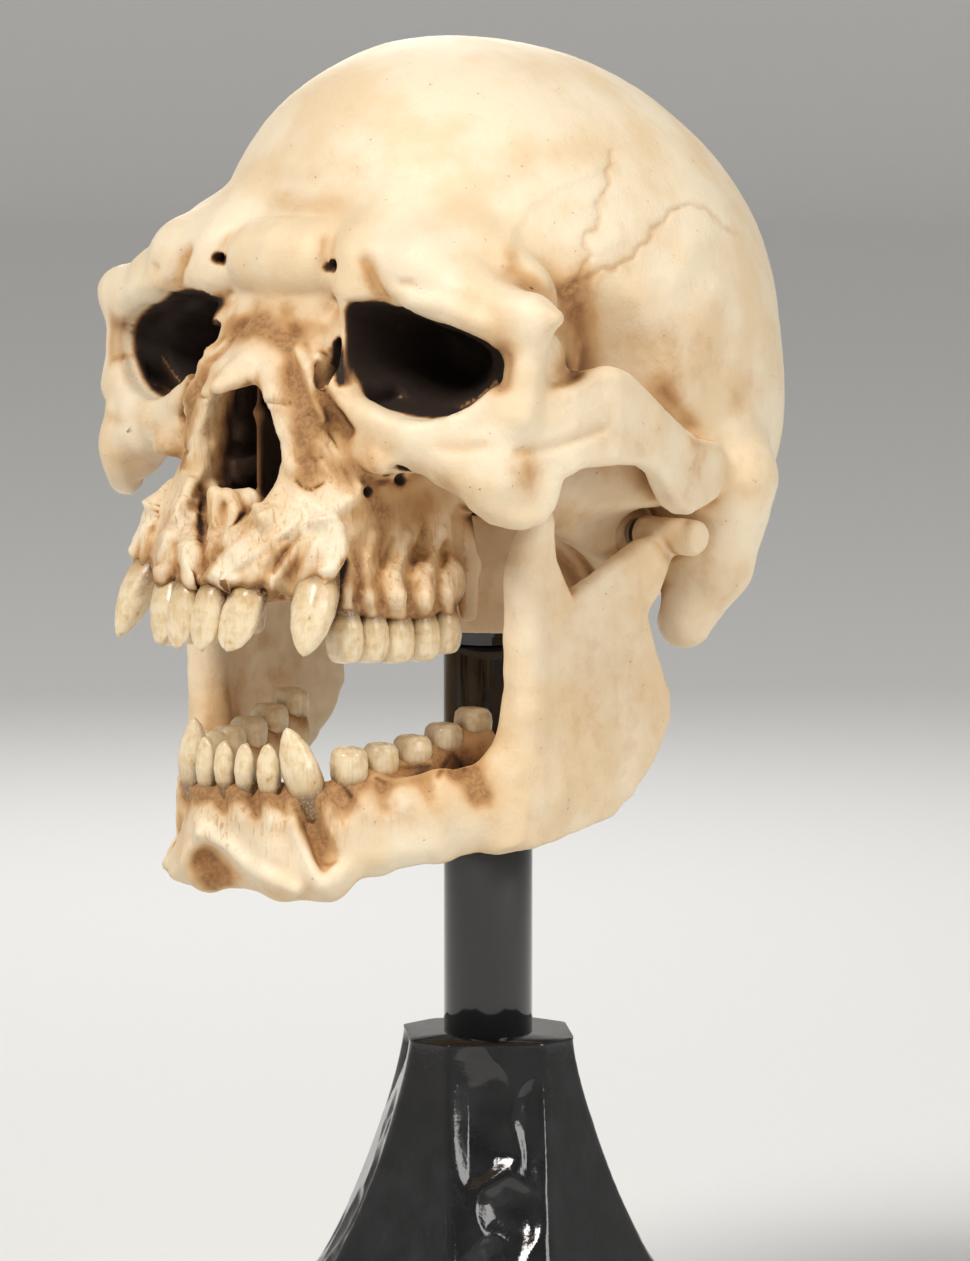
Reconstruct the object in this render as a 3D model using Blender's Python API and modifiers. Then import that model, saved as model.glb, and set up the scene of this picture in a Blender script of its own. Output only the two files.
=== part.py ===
# A fantasy skull statue: a bone-coloured cast skull with a hinged jaw, held on a black post and pedestal.
# Metres, +Z up. The skull looks along -Y, its left side is +X, and the post stands on the Z axis.

import math

import bmesh
import bpy
from mathutils import Matrix, Vector

# Fits
GAP = 0.0003                 # left between pieces that touch
OVERRUN = 0.002              # how far a cutter runs past the face it cuts
WELL_OVERRUN = 0.008         # the same under the skull's curved base
MERGE_REACH = 0.00003        # points closer than this are one
ROUND_STEPS = 24             # sides of a turned piece

# Skull, overall
BROW_WIDTH = 0.176           # over the tips of the brow
SKULL_LENGTH = 0.233         # upper front teeth to the back of the head
SKULL_HEIGHT = 0.180         # chewing surface of the upper teeth to the crown
SKULL_SEAT_HEIGHT = 0.235    # floor to the chewing surface of the upper teeth

# The skull's tables are in shares of three units, which make its sizes these shares
BROW_WIDTH_SHARE = 1.76
SKULL_LENGTH_SHARE = 2.33
SKULL_HEIGHT_SHARE = 1.80
ACROSS = BROW_WIDTH / BROW_WIDTH_SHARE
ALONG = SKULL_LENGTH / SKULL_LENGTH_SHARE
UP = SKULL_HEIGHT / SKULL_HEIGHT_SHARE

# Jaw hinge
HINGE_ALONG_SHARE = 0.057
HINGE_UP_SHARE = 0.347
CONDYLE_INNER_SHARE = 0.52   # flat end of the condyle towards the middle
CONDYLE_OUTER_SHARE = 0.70
ARCH_REACH_SHARE = 0.76      # how far out the room for the condyle goes
CONDYLE_INNER = CONDYLE_INNER_SHARE * ACROSS
CONDYLE_OUTER = CONDYLE_OUTER_SHARE * ACROSS
ARCH_REACH = ARCH_REACH_SHARE * ACROSS
CONDYLE_RADIUS = 0.0050
FOSSA_CLEARANCE = 0.0036     # round the condyle, for the neck to swing
PIN_RADIUS = 0.0015
PIN_HEAD_RADIUS = 0.0034
PIN_HEAD_THICKNESS = 0.0022
PIN_GRIP = 0.009             # length held in the skull
WASHER_RADIUS = 0.0042
WASHER_THICKNESS = 0.0010
FOSSA_WALL = CONDYLE_INNER - WASHER_THICKNESS - GAP - GAP

# Skull, mesh fineness
BLEND_VOXEL = 0.0025         # grid on which the overlapping volumes become one skin
CUT_VOXEL = 0.0020           # grid on which the hollows are worked in
FINE_VOXEL = 0.0012          # grid of the small hollows themselves
BRAIN_VOXEL = 0.0037         # grid of the plain hollow inside
CRANIUM_KEEP_SHARE = 0.026   # triangles kept of the worked skin
MANDIBLE_KEEP_SHARE = 0.038
BRAIN_KEEP_SHARE = 0.10

# Teeth
ROOT_DEPTH = 0.0070          # held below the gum line
ROOT_WIDTH_SHARE = 0.62      # of the crown
ROOT_TIP_SHARE = 0.43        # of the crown, at the root's end
ROOT_SHOULDER_SHARE = 0.5    # where along the root it is full width
TOOTH_SIDES = 8

# Socket, turning cap and post
SOCKET_RADIUS = 0.020
SOCKET_HEIGHT = 0.026
SOCKET_FLANGE = 0.0015       # how far the socket stands out below the skull's base
SOCKET_WALL = 0.007          # bone round the socket
FORAMEN_RIM_HEIGHT = 0.036
FORAMEN_SPREAD_SHARE = 1.2   # top of that ring of bone, of its foot
FORAMEN_UP_SHARE = 0.045     # underside of the skull's base round its socket
SPIGOT_RADIUS = 0.0080
SPIGOT_TIP_RADIUS = 0.0060
SPIGOT_HEIGHT = 0.020
SPIGOT_SHOULDER_SHARE = 0.8  # height at which the spigot starts to taper
CAP_RADIUS = 0.0131
CAP_THICKNESS = 0.0030
STEM_RADIUS = 0.0040
STEM_LENGTH = 0.018
POST_RADIUS = 0.0131
POST_SINK = 0.030            # length of post inside the pedestal
BOLT_RADIUS = 0.0030
BOLT_GRIP = 0.016            # length of bolt inside the post
BOLT_HEAD_RADIUS = 0.0052
BOLT_HEAD_HEIGHT = 0.0040
BOLT_WASHER_RADIUS = 0.0080
BOLT_WASHER_THICKNESS = 0.0012

# Pedestal and pad
PEDESTAL_HEIGHT = 0.116
PEDESTAL_TOP_HALF = 0.0270
PEDESTAL_FOOT_HALF = 0.0740
PEDESTAL_EDGE_WIDTH = 0.028  # face that takes off each upright corner
PEDESTAL_RINGS = 14
PEDESTAL_SLOPE_SHARE = 0.62  # part of the flare that grows gently from the top
PEDESTAL_SLOPE_POWER = 1.37
PEDESTAL_SKIRT_POWER = 7     # the rest, which spreads near the floor
PLINTH_HEIGHT = 0.012
RECESS_RADIUS = 0.011
RECESS_DEPTH = 0.008
PAD_THICKNESS = 0.0020
PAD_INSET = 0.004

# Heights that follow
HINGE = Vector((0.0, HINGE_ALONG_SHARE * ALONG, SKULL_SEAT_HEIGHT + HINGE_UP_SHARE * UP))
SKULL_BASE = SKULL_SEAT_HEIGHT + FORAMEN_UP_SHARE * UP
SOCKET_BOTTOM = SKULL_BASE - SOCKET_FLANGE
CAP_TOP = SOCKET_BOTTOM - GAP
CAP_BOTTOM = CAP_TOP - CAP_THICKNESS
POST_TOP = CAP_BOTTOM - GAP
PEDESTAL_BOTTOM = PAD_THICKNESS + GAP
PEDESTAL_TOP = PEDESTAL_BOTTOM + PEDESTAL_HEIGHT
POST_BOTTOM = PEDESTAL_TOP - POST_SINK

# Volumes of the skull. Balls: centre across, along, up, then radius across, along, up.
BRAINCASE_BALL_SHARES = (
    (0.00, 0.08, 0.88, 0.77, 0.88, 0.84),
    (0.00, -0.24, 1.08, 0.70, 0.64, 0.71),
    (0.00, -0.04, 0.98, 0.71, 0.74, 0.79),
    (0.00, 0.30, 0.62, 0.70, 0.63, 0.56),
)
BRAIN_BALL_SHARES = (
    (0.00, 0.14, 1.08, 0.69, 0.75, 0.56),
    (0.00, -0.14, 1.22, 0.54, 0.52, 0.48),
    (0.00, 0.38, 0.68, 0.57, 0.48, 0.46),
)
UPPER_JAW_BALL_SHARE = (0.00, -0.80, 0.42, 0.36, 0.30, 0.27)
FACE_BALL_SHARES = (
    (0.00, -0.64, 0.66, 0.26, 0.34, 0.30),
    (0.00, -0.86, 0.72, 0.24, 0.21, 0.34),
    (0.00, -0.86, 1.16, 0.17, 0.135, 0.16),
)
ORBIT_BACK_BALL_SHARE = (0.38, -0.56, 0.86, 0.33, 0.27, 0.28)
CHEEK_ROOT_BALL_SHARE = (0.28, -0.86, 0.48, 0.14, 0.19, 0.21)
ORBIT_FLOOR_BALL_SHARE = (0.56, -0.74, 0.68, 0.17, 0.14, 0.12)
UNDERSIDE_BALL_SHARE = (0.00, -0.52, -0.02, 0.74, 0.78, 0.52)
PALATE_BALL_SHARE = (0.00, -0.84, 0.08, 0.23, 0.32, 0.21)
CHEEK_HOLLOW_BALL_SHARE = (0.52, -0.84, 0.36, 0.15, 0.20, 0.15)
TEMPLE_HOLLOW_BALL_SHARE = (0.74, -0.39, 0.68, 0.17, 0.28, 0.36)

# Limbs: places across, along, up, and the radius there, then how far the limb is squashed or drawn out.
JAW_SWING_LIMB_SHARES = ((0.61, 0.03, 0.34, 0.095), (0.61, -0.26, 0.33, 0.095))
MASTOID_LIMB_SHARES = ((0.66, 0.28, 0.50, 0.16), (0.63, 0.25, 0.25, 0.125), (0.585, 0.195, 0.085, 0.082))
UPPER_LIP_LIMB_SHARES = ((0.14, -1.04, 0.48, 0.09), (0.16, -1.13, 0.33, 0.095), (0.00, -1.19, 0.33, 0.095))
UPPER_GUM_LIMB_SHARES = (
    (0.00, -1.20, 0.33, 0.080), (0.12, -1.18, 0.33, 0.080), (0.22, -1.11, 0.33, 0.080),
    (0.29, -1.03, 0.30, 0.073), (0.34, -0.88, 0.25, 0.068), (0.36, -0.74, 0.24, 0.068),
    (0.365, -0.62, 0.25, 0.068),
)
FANG_ROOT_LIMB_SHARES = ((0.29, -0.99, 0.46, 0.05), (0.29, -1.05, 0.37, 0.065), (0.30, -1.07, 0.31, 0.062))
CHEEK_LIMB_SHARES = ((0.34, -0.88, 0.60, 0.12), (0.54, -0.85, 0.60, 0.11), (0.66, -0.79, 0.62, 0.085))
ARCH_LIMB_SHARES = (
    (0.70, -0.80, 0.64, 0.11), (0.79, -0.68, 0.70, 0.13), (0.84, -0.50, 0.74, 0.14),
    (0.84, -0.33, 0.70, 0.115), (0.81, -0.16, 0.585, 0.12), (0.76, 0.02, 0.525, 0.10),
    (0.70, 0.16, 0.53, 0.08),
)
ARCH_SQUASH_SHARES = (0.36, 1.0, 1.0)
CHEEK_LOBE_LIMB_SHARES = ((0.70, -0.78, 0.60, 0.12), (0.72, -0.75, 0.545, 0.105))
ORBIT_WALL_LIMB_SHARES = ((0.76, -0.71, 0.88, 0.14), (0.61, -0.54, 0.86, 0.18))
PILLAR_LIMB_SHARES = ((0.78, -0.73, 1.02, 0.06), (0.765, -0.74, 0.88, 0.056), (0.77, -0.76, 0.74, 0.07))
BROW_LIMB_SHARES = (
    (0.00, -0.86, 1.16, 0.125), (0.20, -0.85, 1.17, 0.125), (0.37, -0.78, 1.20, 0.145),
    (0.56, -0.74, 1.14, 0.12), (0.71, -0.725, 1.065, 0.09), (0.835, -0.718, 1.045, 0.045),
)
LOWER_RIM_LIMB_SHARES = (
    (0.21, -0.97, 0.82, 0.042), (0.27, -0.95, 0.75, 0.048), (0.36, -0.91, 0.69, 0.052),
    (0.48, -0.88, 0.665, 0.057), (0.61, -0.84, 0.675, 0.062), (0.72, -0.79, 0.74, 0.062),
)
NOSE_LIMB_SHARES = ((0.00, -0.84, 1.01, 0.09), (0.00, -0.97, 0.92, 0.07), (0.00, -1.065, 0.86, 0.05))
NOSE_SIDE_LIMB_SHARES = (
    (0.10, -0.94, 0.96, 0.06), (0.14, -0.99, 0.84, 0.056), (0.19, -1.00, 0.70, 0.056),
    (0.20, -1.02, 0.58, 0.06), (0.17, -1.04, 0.48, 0.062),
)
NOSE_HOLE_LIMB_SHARES = ((0.07, -1.04, 0.56, 0.08), (0.00, -1.04, 0.70, 0.11))
NOSE_HOLE_DRAW_SHARES = (1.0, 3.0, 1.15)
NERVE_HOLE_LIMB_SHARES = (
    ((0.23, -1.06, 1.17, 0.023), (0.23, -0.90, 1.16, 0.015)),
    ((0.446, -1.04, 0.55, 0.021), (0.446, -0.84, 0.59, 0.015)),
)

# Eye opening: centre and half sizes at the rim, and centre and scale at the back
ORBIT_RIM_SHARE = (0.485, -0.98, 0.885)
ORBIT_BACK_SHARE = (0.29, -0.56, 0.91)
ORBIT_HALF_SHARE = (0.265, 0.168)
ORBIT_BACK_SCALE_SHARE = 0.34
ORBIT_DROOP_SHARE = -0.10    # fall of the rim outwards
ORBIT_SQUARENESS_SHARE = 2.6
ORBIT_SIDES = 20

# Lower jaw
RAMUS_OUTLINE_SHARES = (
    (-0.475, 0.469), (-0.533, 0.439), (-0.59, 0.375), (-0.62, 0.277), (-0.625, 0.163), (-0.61, -0.013),
    (-0.62, -0.18), (-0.63, -0.34), (-0.64, -0.49), (-0.56, -0.50), (-0.395, -0.472), (-0.226, -0.441),
    (-0.137, -0.39), (-0.012, -0.272), (0.053, -0.176), (0.048, -0.102), (-0.011, 0.018), (-0.045, 0.116),
    (0.00, 0.20), (0.045, 0.30), (0.045, 0.355), (-0.058, 0.342), (-0.183, 0.294), (-0.284, 0.25),
    (-0.383, 0.216), (-0.443, 0.318), (-0.465, 0.407),
)
RAMUS_MIDDLE_SHARE = 0.61
RAMUS_HALF_SHARE = 0.042
RAMUS_ROUNDING_SHARE = 0.02
NECK_LIMB_SHARES = ((0.61, -0.02, 0.22, 0.042), (0.61, 0.057, 0.347, 0.045))
JAW_BODY_LIMB_SHARES = (
    (0.00, -1.07, -0.47, 0.072), (0.14, -1.06, -0.47, 0.074), (0.24, -1.00, -0.46, 0.072),
    (0.34, -0.89, -0.43, 0.068), (0.45, -0.75, -0.40, 0.070), (0.54, -0.62, -0.375, 0.066),
    (0.59, -0.48, -0.35, 0.056),
)
JAW_BODY_DRAW_SHARES = (1.0, 1.0, 1.9)
LOWER_GUM_LIMB_SHARES = (
    (0.00, -1.09, -0.38, 0.058), (0.11, -1.07, -0.38, 0.058), (0.20, -1.01, -0.38, 0.058),
    (0.28, -0.88, -0.35, 0.062), (0.32, -0.70, -0.32, 0.066), (0.36, -0.48, -0.25, 0.064),
)
LOWER_GUM_DRAW_SHARES = (1.0, 1.0, 1.5)
JAW_SHELF_LIMB_SHARES = ((0.34, -0.68, -0.42, 0.07), (0.53, -0.52, -0.38, 0.06))
CHIN_LIMB_SHARES = ((0.00, -1.10, -0.55, 0.05), (0.15, -1.08, -0.56, 0.064), (0.27, -1.02, -0.57, 0.058))

# Teeth: name, gum-line place, tip place, half width along the jaw, half depth, turn about the tooth's own
# length in degrees, and form
UPPER_TOOTH_SHARES = (
    ("incisor_1", (0.046, -1.255, 0.26), (0.048, -1.325, 0.105), 0.042, 0.036, 0, "incisor"),
    ("incisor_2", (0.142, -1.225, 0.26), (0.135, -1.295, 0.105), 0.042, 0.036, 14, "incisor"),
    ("canine", (0.310, -1.110, 0.25), (0.370, -1.225, 0.11), 0.056, 0.048, 42, "canine"),
    ("premolar_1", (0.325, -1.020, 0.18), (0.335, -1.028, 0.05), 0.042, 0.048, 70, "premolar"),
    ("premolar_2", (0.340, -0.930, 0.17), (0.350, -0.935, 0.045), 0.042, 0.048, 79, "premolar"),
    ("molar_1", (0.352, -0.837, 0.16), (0.360, -0.840, 0.035), 0.047, 0.051, 84, "molar"),
    ("molar_2", (0.362, -0.738, 0.155), (0.369, -0.740, 0.032), 0.047, 0.051, 86, "molar"),
    ("molar_3", (0.368, -0.645, 0.165), (0.373, -0.646, 0.045), 0.043, 0.048, 88, "molar"),
)
LOWER_TOOTH_SHARES = (
    ("incisor_1", (0.038, -1.105, -0.32), (0.040, -1.125, -0.19), 0.034, 0.034, 0, "incisor"),
    ("incisor_2", (0.115, -1.095, -0.33), (0.120, -1.115, -0.185), 0.036, 0.034, 12, "incisor"),
    ("canine", (0.200, -1.045, -0.33), (0.184, -1.092, -0.15), 0.046, 0.044, 40, "canine"),
    ("premolar_1", (0.258, -0.935, -0.31), (0.262, -0.930, -0.210), 0.046, 0.048, 64, "premolar"),
    ("premolar_2", (0.288, -0.825, -0.30), (0.290, -0.820, -0.195), 0.049, 0.050, 74, "premolar"),
    ("molar_1", (0.312, -0.712, -0.28), (0.312, -0.708, -0.182), 0.053, 0.054, 80, "molar"),
    ("molar_2", (0.332, -0.598, -0.25), (0.332, -0.592, -0.157), 0.053, 0.054, 82, "molar"),
    ("molar_3", (0.348, -0.488, -0.21), (0.348, -0.480, -0.122), 0.051, 0.052, 84, "molar"),
)

# Outline of a tooth above the gum: height share, width share, depth share
CROWN_SHARES = {
    "incisor": ((0.0, 0.84, 0.92), (0.45, 0.98, 0.86), (0.85, 1.0, 0.42), (1.0, 0.72, 0.22)),
    "canine": ((0.0, 0.90, 0.92), (0.30, 1.0, 1.0), (0.70, 0.62, 0.60), (1.0, 0.14, 0.14)),
    "premolar": ((0.0, 0.82, 0.86), (0.45, 1.0, 1.0), (0.85, 0.90, 0.84), (1.0, 0.55, 0.50)),
    "molar": ((0.0, 0.84, 0.90), (0.45, 1.0, 1.0), (0.85, 0.94, 0.92), (1.0, 0.66, 0.64)),
}


def clear_scene():
    for old in list(bpy.data.objects):
        bpy.data.objects.remove(old, do_unlink=True)


def new_collection(name, hidden):
    group = bpy.data.collections.new(name)
    bpy.context.scene.collection.children.link(group)
    group.hide_render = hidden
    return group


def new_material(name, color, roughness, metallic):
    material = bpy.data.materials.new(name)
    material.use_nodes = True
    shader = material.node_tree.nodes["Principled BSDF"]
    shader.inputs["Base Color"].default_value = (*color, 1.0)
    shader.inputs["Roughness"].default_value = roughness
    shader.inputs["Metallic"].default_value = metallic
    material.diffuse_color = (*color, 1.0)
    return material


def place(across, along, up):
    """A place on the skull, from its shares."""
    return Vector((across * ACROSS, along * ALONG, SKULL_SEAT_HEIGHT + up * UP))


def sides(across):
    """Which sides of the skull a volume is made on: once in the middle, else left and right."""
    return (1,) if across == 0 else (1, -1)


def add_ball(bm, shares, grow=0.0):
    """An ellipsoid from its shares, on both sides unless it lies in the middle."""
    across, along, up, wide, deep, high = shares
    size = Matrix.Diagonal((wide * ACROSS + grow, deep * ALONG + grow, high * UP + grow, 1.0))
    for side in sides(across):
        spot = Matrix.Translation(place(side * across, along, up))
        bmesh.ops.create_uvsphere(bm, u_segments=32, v_segments=20, radius=1.0, matrix=spot @ size)


def add_limb(bm, shares, squash=(1.0, 1.0, 1.0)):
    """A chain of round joints and tapering links, on both sides."""
    stretch = Matrix.Diagonal((*squash, 1.0))
    for side in (1, -1):
        joints = [(stretch.inverted() @ place(side * x, y, z), r * ACROSS) for x, y, z, r in shares]
        for spot, radius in joints:
            bmesh.ops.create_uvsphere(bm, u_segments=16, v_segments=10, radius=radius,
                                      matrix=stretch @ Matrix.Translation(spot))
        for (low, low_radius), (high, high_radius) in zip(joints[:-1], joints[1:]):
            link = high - low
            turn = link.to_track_quat("Z", "Y").to_matrix().to_4x4()
            middle = Matrix.Translation((low + high) / 2)
            bmesh.ops.create_cone(bm, cap_ends=True, segments=16, radius1=low_radius, radius2=high_radius,
                                  depth=link.length, matrix=stretch @ middle @ turn)


def new_object(name, bm, group, material=None, parent=None):
    """An object from a mesh built in place, with its origin on its parent, or at the floor's middle."""
    mesh = bpy.data.meshes.new(name)
    if parent is not None:
        bm.transform(Matrix.Translation(-parent.location))
    bm.to_mesh(mesh)
    bm.free()
    thing = bpy.data.objects.new(name, mesh)
    group.objects.link(thing)
    if parent is not None:
        thing.parent = parent
    if material is not None:
        mesh.materials.append(material)
    return thing


def join_mesh(thing, bm, parent):
    """Weld a second volume on to a plain solid that touches it."""
    bm.transform(Matrix.Translation(-parent.location))
    extra = bpy.data.meshes.new(thing.name + "_extra")
    bm.to_mesh(extra)
    bm.free()
    other = bpy.data.objects.new(thing.name + "_extra", extra)
    other.parent = parent
    bpy.data.collections["cutters"].objects.link(other)
    hide_cutter(other)
    weld = thing.modifiers.new("Weld", "BOOLEAN")
    weld.operation = "UNION"
    weld.solver = "EXACT"
    weld.object = other


def hide_cutter(thing):
    thing.hide_render = True
    thing.display_type = "WIRE"


def remesh(thing, voxel, rounds):
    """One skin over the overlapping volumes, then smoothed."""
    skin = thing.modifiers.new("Skin", "REMESH")
    skin.mode = "VOXEL"
    skin.voxel_size = voxel
    soften = thing.modifiers.new("Soften", "SMOOTH")
    soften.factor = 0.5
    soften.iterations = rounds


def thin_out(thing, share):
    thin = thing.modifiers.new("Thin", "DECIMATE")
    thin.ratio = share


def cut(thing, cutter):
    """Take away a cutter: an object, or a collection of them."""
    tool = thing.modifiers.new("Cut", "BOOLEAN")
    tool.operation = "DIFFERENCE"
    tool.solver = "EXACT"
    if isinstance(cutter, bpy.types.Collection):
        tool.operand_type = "COLLECTION"
        tool.collection = cutter
    else:
        tool.object = cutter


def turned(name, profile, group, material=None, parent=None, centre=(0.0, 0.0), steps=ROUND_STEPS):
    """A turned piece: a profile of radius and height from top to bottom, screwed round an upright axis."""
    bm = bmesh.new()
    corners = [bm.verts.new((radius, 0.0, height)) for radius, height in profile]
    for upper, lower in zip(corners[:-1], corners[1:]):
        bm.edges.new((upper, lower))
    thing = new_object(name, bm, group, material)
    thing.location = (*centre, 0.0)
    if parent is not None:
        thing.parent = parent
        thing.location -= parent.location
    spin = thing.modifiers.new("Turn", "SCREW")
    spin.steps = steps
    spin.render_steps = steps
    spin.use_merge_vertices = True
    spin.merge_threshold = MERGE_REACH
    return thing


def eight_sided(bm, half, height):
    """A square ring of that half width whose four corners are taken off by faces of one width."""
    short = half - PEDESTAL_EDGE_WIDTH / math.sqrt(2.0)
    outline = ((half, -short), (half, short), (short, half), (-short, half),
               (-half, short), (-half, -short), (-short, -half), (short, -half))
    return [bm.verts.new((x, y, height)) for x, y in outline]


def lofted(rings):
    """A closed solid over (half width, height) rings, from the lowest up."""
    bm = bmesh.new()
    loops = [eight_sided(bm, half, height) for half, height in rings]
    for lower, upper in zip(loops[:-1], loops[1:]):
        for i, corner in enumerate(lower):
            bm.faces.new((lower[i - 1], corner, upper[i], upper[i - 1]))
    bm.faces.new(reversed(loops[0]))
    bm.faces.new(loops[-1])
    return bm


def build_pedestal(group, cutters, material):
    """The flared tower: it widens gently from the top, and spreads to a low plinth near the floor."""
    spread = PEDESTAL_FOOT_HALF - PEDESTAL_TOP_HALF
    flare_height = PEDESTAL_HEIGHT - PLINTH_HEIGHT
    rings = [(PEDESTAL_FOOT_HALF, PEDESTAL_BOTTOM)]
    for step in range(PEDESTAL_RINGS + 1):
        down = 1.0 - step / PEDESTAL_RINGS
        flare = (PEDESTAL_SLOPE_SHARE * down ** PEDESTAL_SLOPE_POWER
                 + (1.0 - PEDESTAL_SLOPE_SHARE) * down ** PEDESTAL_SKIRT_POWER)
        rings.append((PEDESTAL_TOP_HALF + spread * flare, PEDESTAL_TOP - flare_height * down))
    bm = lofted(rings)
    pedestal = new_object("pedestal", bm, group, material)
    post_well = POST_RADIUS + GAP
    well_floor = POST_BOTTOM - GAP
    hole = BOLT_RADIUS + GAP
    recess_top = PEDESTAL_BOTTOM + RECESS_DEPTH
    well = turned("pedestal_bore", (
        (0.0, PEDESTAL_TOP + OVERRUN), (post_well, PEDESTAL_TOP + OVERRUN), (post_well, well_floor),
        (hole, well_floor), (hole, recess_top), (RECESS_RADIUS, recess_top),
        (RECESS_RADIUS, PEDESTAL_BOTTOM - OVERRUN), (0.0, PEDESTAL_BOTTOM - OVERRUN)), cutters)
    hide_cutter(well)
    cut(pedestal, well)
    return recess_top


def build_stand(group, cutters, materials):
    """Pedestal, pad, post, its bolt and washer."""
    recess_top = build_pedestal(group, cutters, materials["black_stone"])
    half = PEDESTAL_FOOT_HALF - PAD_INSET
    new_object("base_felt", lofted(((half, 0.0), (half, PAD_THICKNESS))), group, materials["felt"])

    stem_well = STEM_RADIUS + GAP
    stem_floor = POST_TOP - STEM_LENGTH - GAP
    bolt_well = BOLT_RADIUS + GAP
    bolt_roof = POST_BOTTOM + BOLT_GRIP + GAP
    turned("post", (
        (0.0, stem_floor), (stem_well, stem_floor), (stem_well, POST_TOP), (POST_RADIUS, POST_TOP),
        (POST_RADIUS, POST_BOTTOM), (bolt_well, POST_BOTTOM), (bolt_well, bolt_roof), (0.0, bolt_roof)), group,
        materials["black_post"])

    washer_top = recess_top - GAP
    washer_bottom = washer_top - BOLT_WASHER_THICKNESS
    turned("post_washer", (
        (bolt_well, washer_top), (BOLT_WASHER_RADIUS, washer_top), (BOLT_WASHER_RADIUS, washer_bottom),
        (bolt_well, washer_bottom), (bolt_well, washer_top)), group, materials["steel"])
    head_top = washer_bottom - GAP
    turned("post_bolt", (
        (0.0, POST_BOTTOM + BOLT_GRIP), (BOLT_RADIUS, POST_BOTTOM + BOLT_GRIP), (BOLT_RADIUS, head_top),
        (BOLT_HEAD_RADIUS, head_top), (BOLT_HEAD_RADIUS, head_top - BOLT_HEAD_HEIGHT),
        (0.0, head_top - BOLT_HEAD_HEIGHT)), group, materials["steel"])


def build_cap(group, pivot, material):
    """The turning cap: a stem in the post, a shoulder on it, and a spigot that the skull drops over."""
    spigot_top = CAP_TOP + SPIGOT_HEIGHT
    turned("turning_cap", (
        (0.0, spigot_top), (SPIGOT_TIP_RADIUS, spigot_top),
        (SPIGOT_RADIUS, CAP_TOP + SPIGOT_HEIGHT * SPIGOT_SHOULDER_SHARE), (SPIGOT_RADIUS, CAP_TOP),
        (CAP_RADIUS, CAP_TOP), (CAP_RADIUS, CAP_BOTTOM), (STEM_RADIUS, CAP_BOTTOM),
        (STEM_RADIUS, POST_TOP - STEM_LENGTH), (0.0, POST_TOP - STEM_LENGTH)), group, material, pivot)


def build_socket(group, pivot, material):
    """The plug in the skull's base, with the blind bore that the spigot fills."""
    bore = SPIGOT_RADIUS + GAP
    bore_roof = CAP_TOP + SPIGOT_HEIGHT + GAP
    socket_top = SOCKET_BOTTOM + SOCKET_HEIGHT
    turned("skull_socket", (
        (0.0, socket_top), (SOCKET_RADIUS, socket_top), (SOCKET_RADIUS, SOCKET_BOTTOM), (bore, SOCKET_BOTTOM),
        (bore, bore_roof), (0.0, bore_roof)), group, material, pivot)


def tooth_mesh(gum, tip, half_width, half_depth, turn, form, grow=0.0):
    """A tooth: rings from the root's end to the crown's tip, shaped by its form above the gum."""
    axis = tip - gum
    length = axis.length
    rings = [(-ROOT_DEPTH - grow, ROOT_TIP_SHARE, ROOT_TIP_SHARE),
             (-ROOT_DEPTH * ROOT_SHOULDER_SHARE, ROOT_WIDTH_SHARE, ROOT_WIDTH_SHARE)]
    rings += [(share * length, wide, deep) for share, wide, deep in CROWN_SHARES[form]]
    heights = [ring[0] for ring in rings]
    heights[-1] += grow
    bm = bmesh.new()
    loops = []
    for height, (_, wide, deep) in zip(heights, rings):
        loop = bmesh.ops.create_circle(bm, cap_ends=False, segments=TOOTH_SIDES, radius=1.0)["verts"]
        for vert in loop:
            x, y = vert.co.x * (wide * half_width + grow), vert.co.y * (deep * half_depth + grow)
            vert.co = (x, y, height)
        loops.append(loop)
    for lower, upper in zip(loops[:-1], loops[1:]):
        pair = set(lower) | set(upper)
        rims = [edge for edge in bm.edges if edge.verts[0] in pair and edge.verts[1] in pair
                and (edge.verts[0] in lower) == (edge.verts[1] in lower)]
        bmesh.ops.bridge_loops(bm, edges=rims)
    for loop in (loops[0], loops[-1]):
        bmesh.ops.contextual_create(bm, geom=loop)
    bmesh.ops.recalc_face_normals(bm, faces=bm.faces)
    forward = Vector((math.cos(turn), math.sin(turn), 0.0))
    up = axis.normalized()
    side = up.cross(forward).normalized()
    forward = side.cross(up)
    frame = Matrix((forward, side, up)).transposed().to_4x4()
    bm.transform(Matrix.Translation(gum) @ frame)
    return bm


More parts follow.
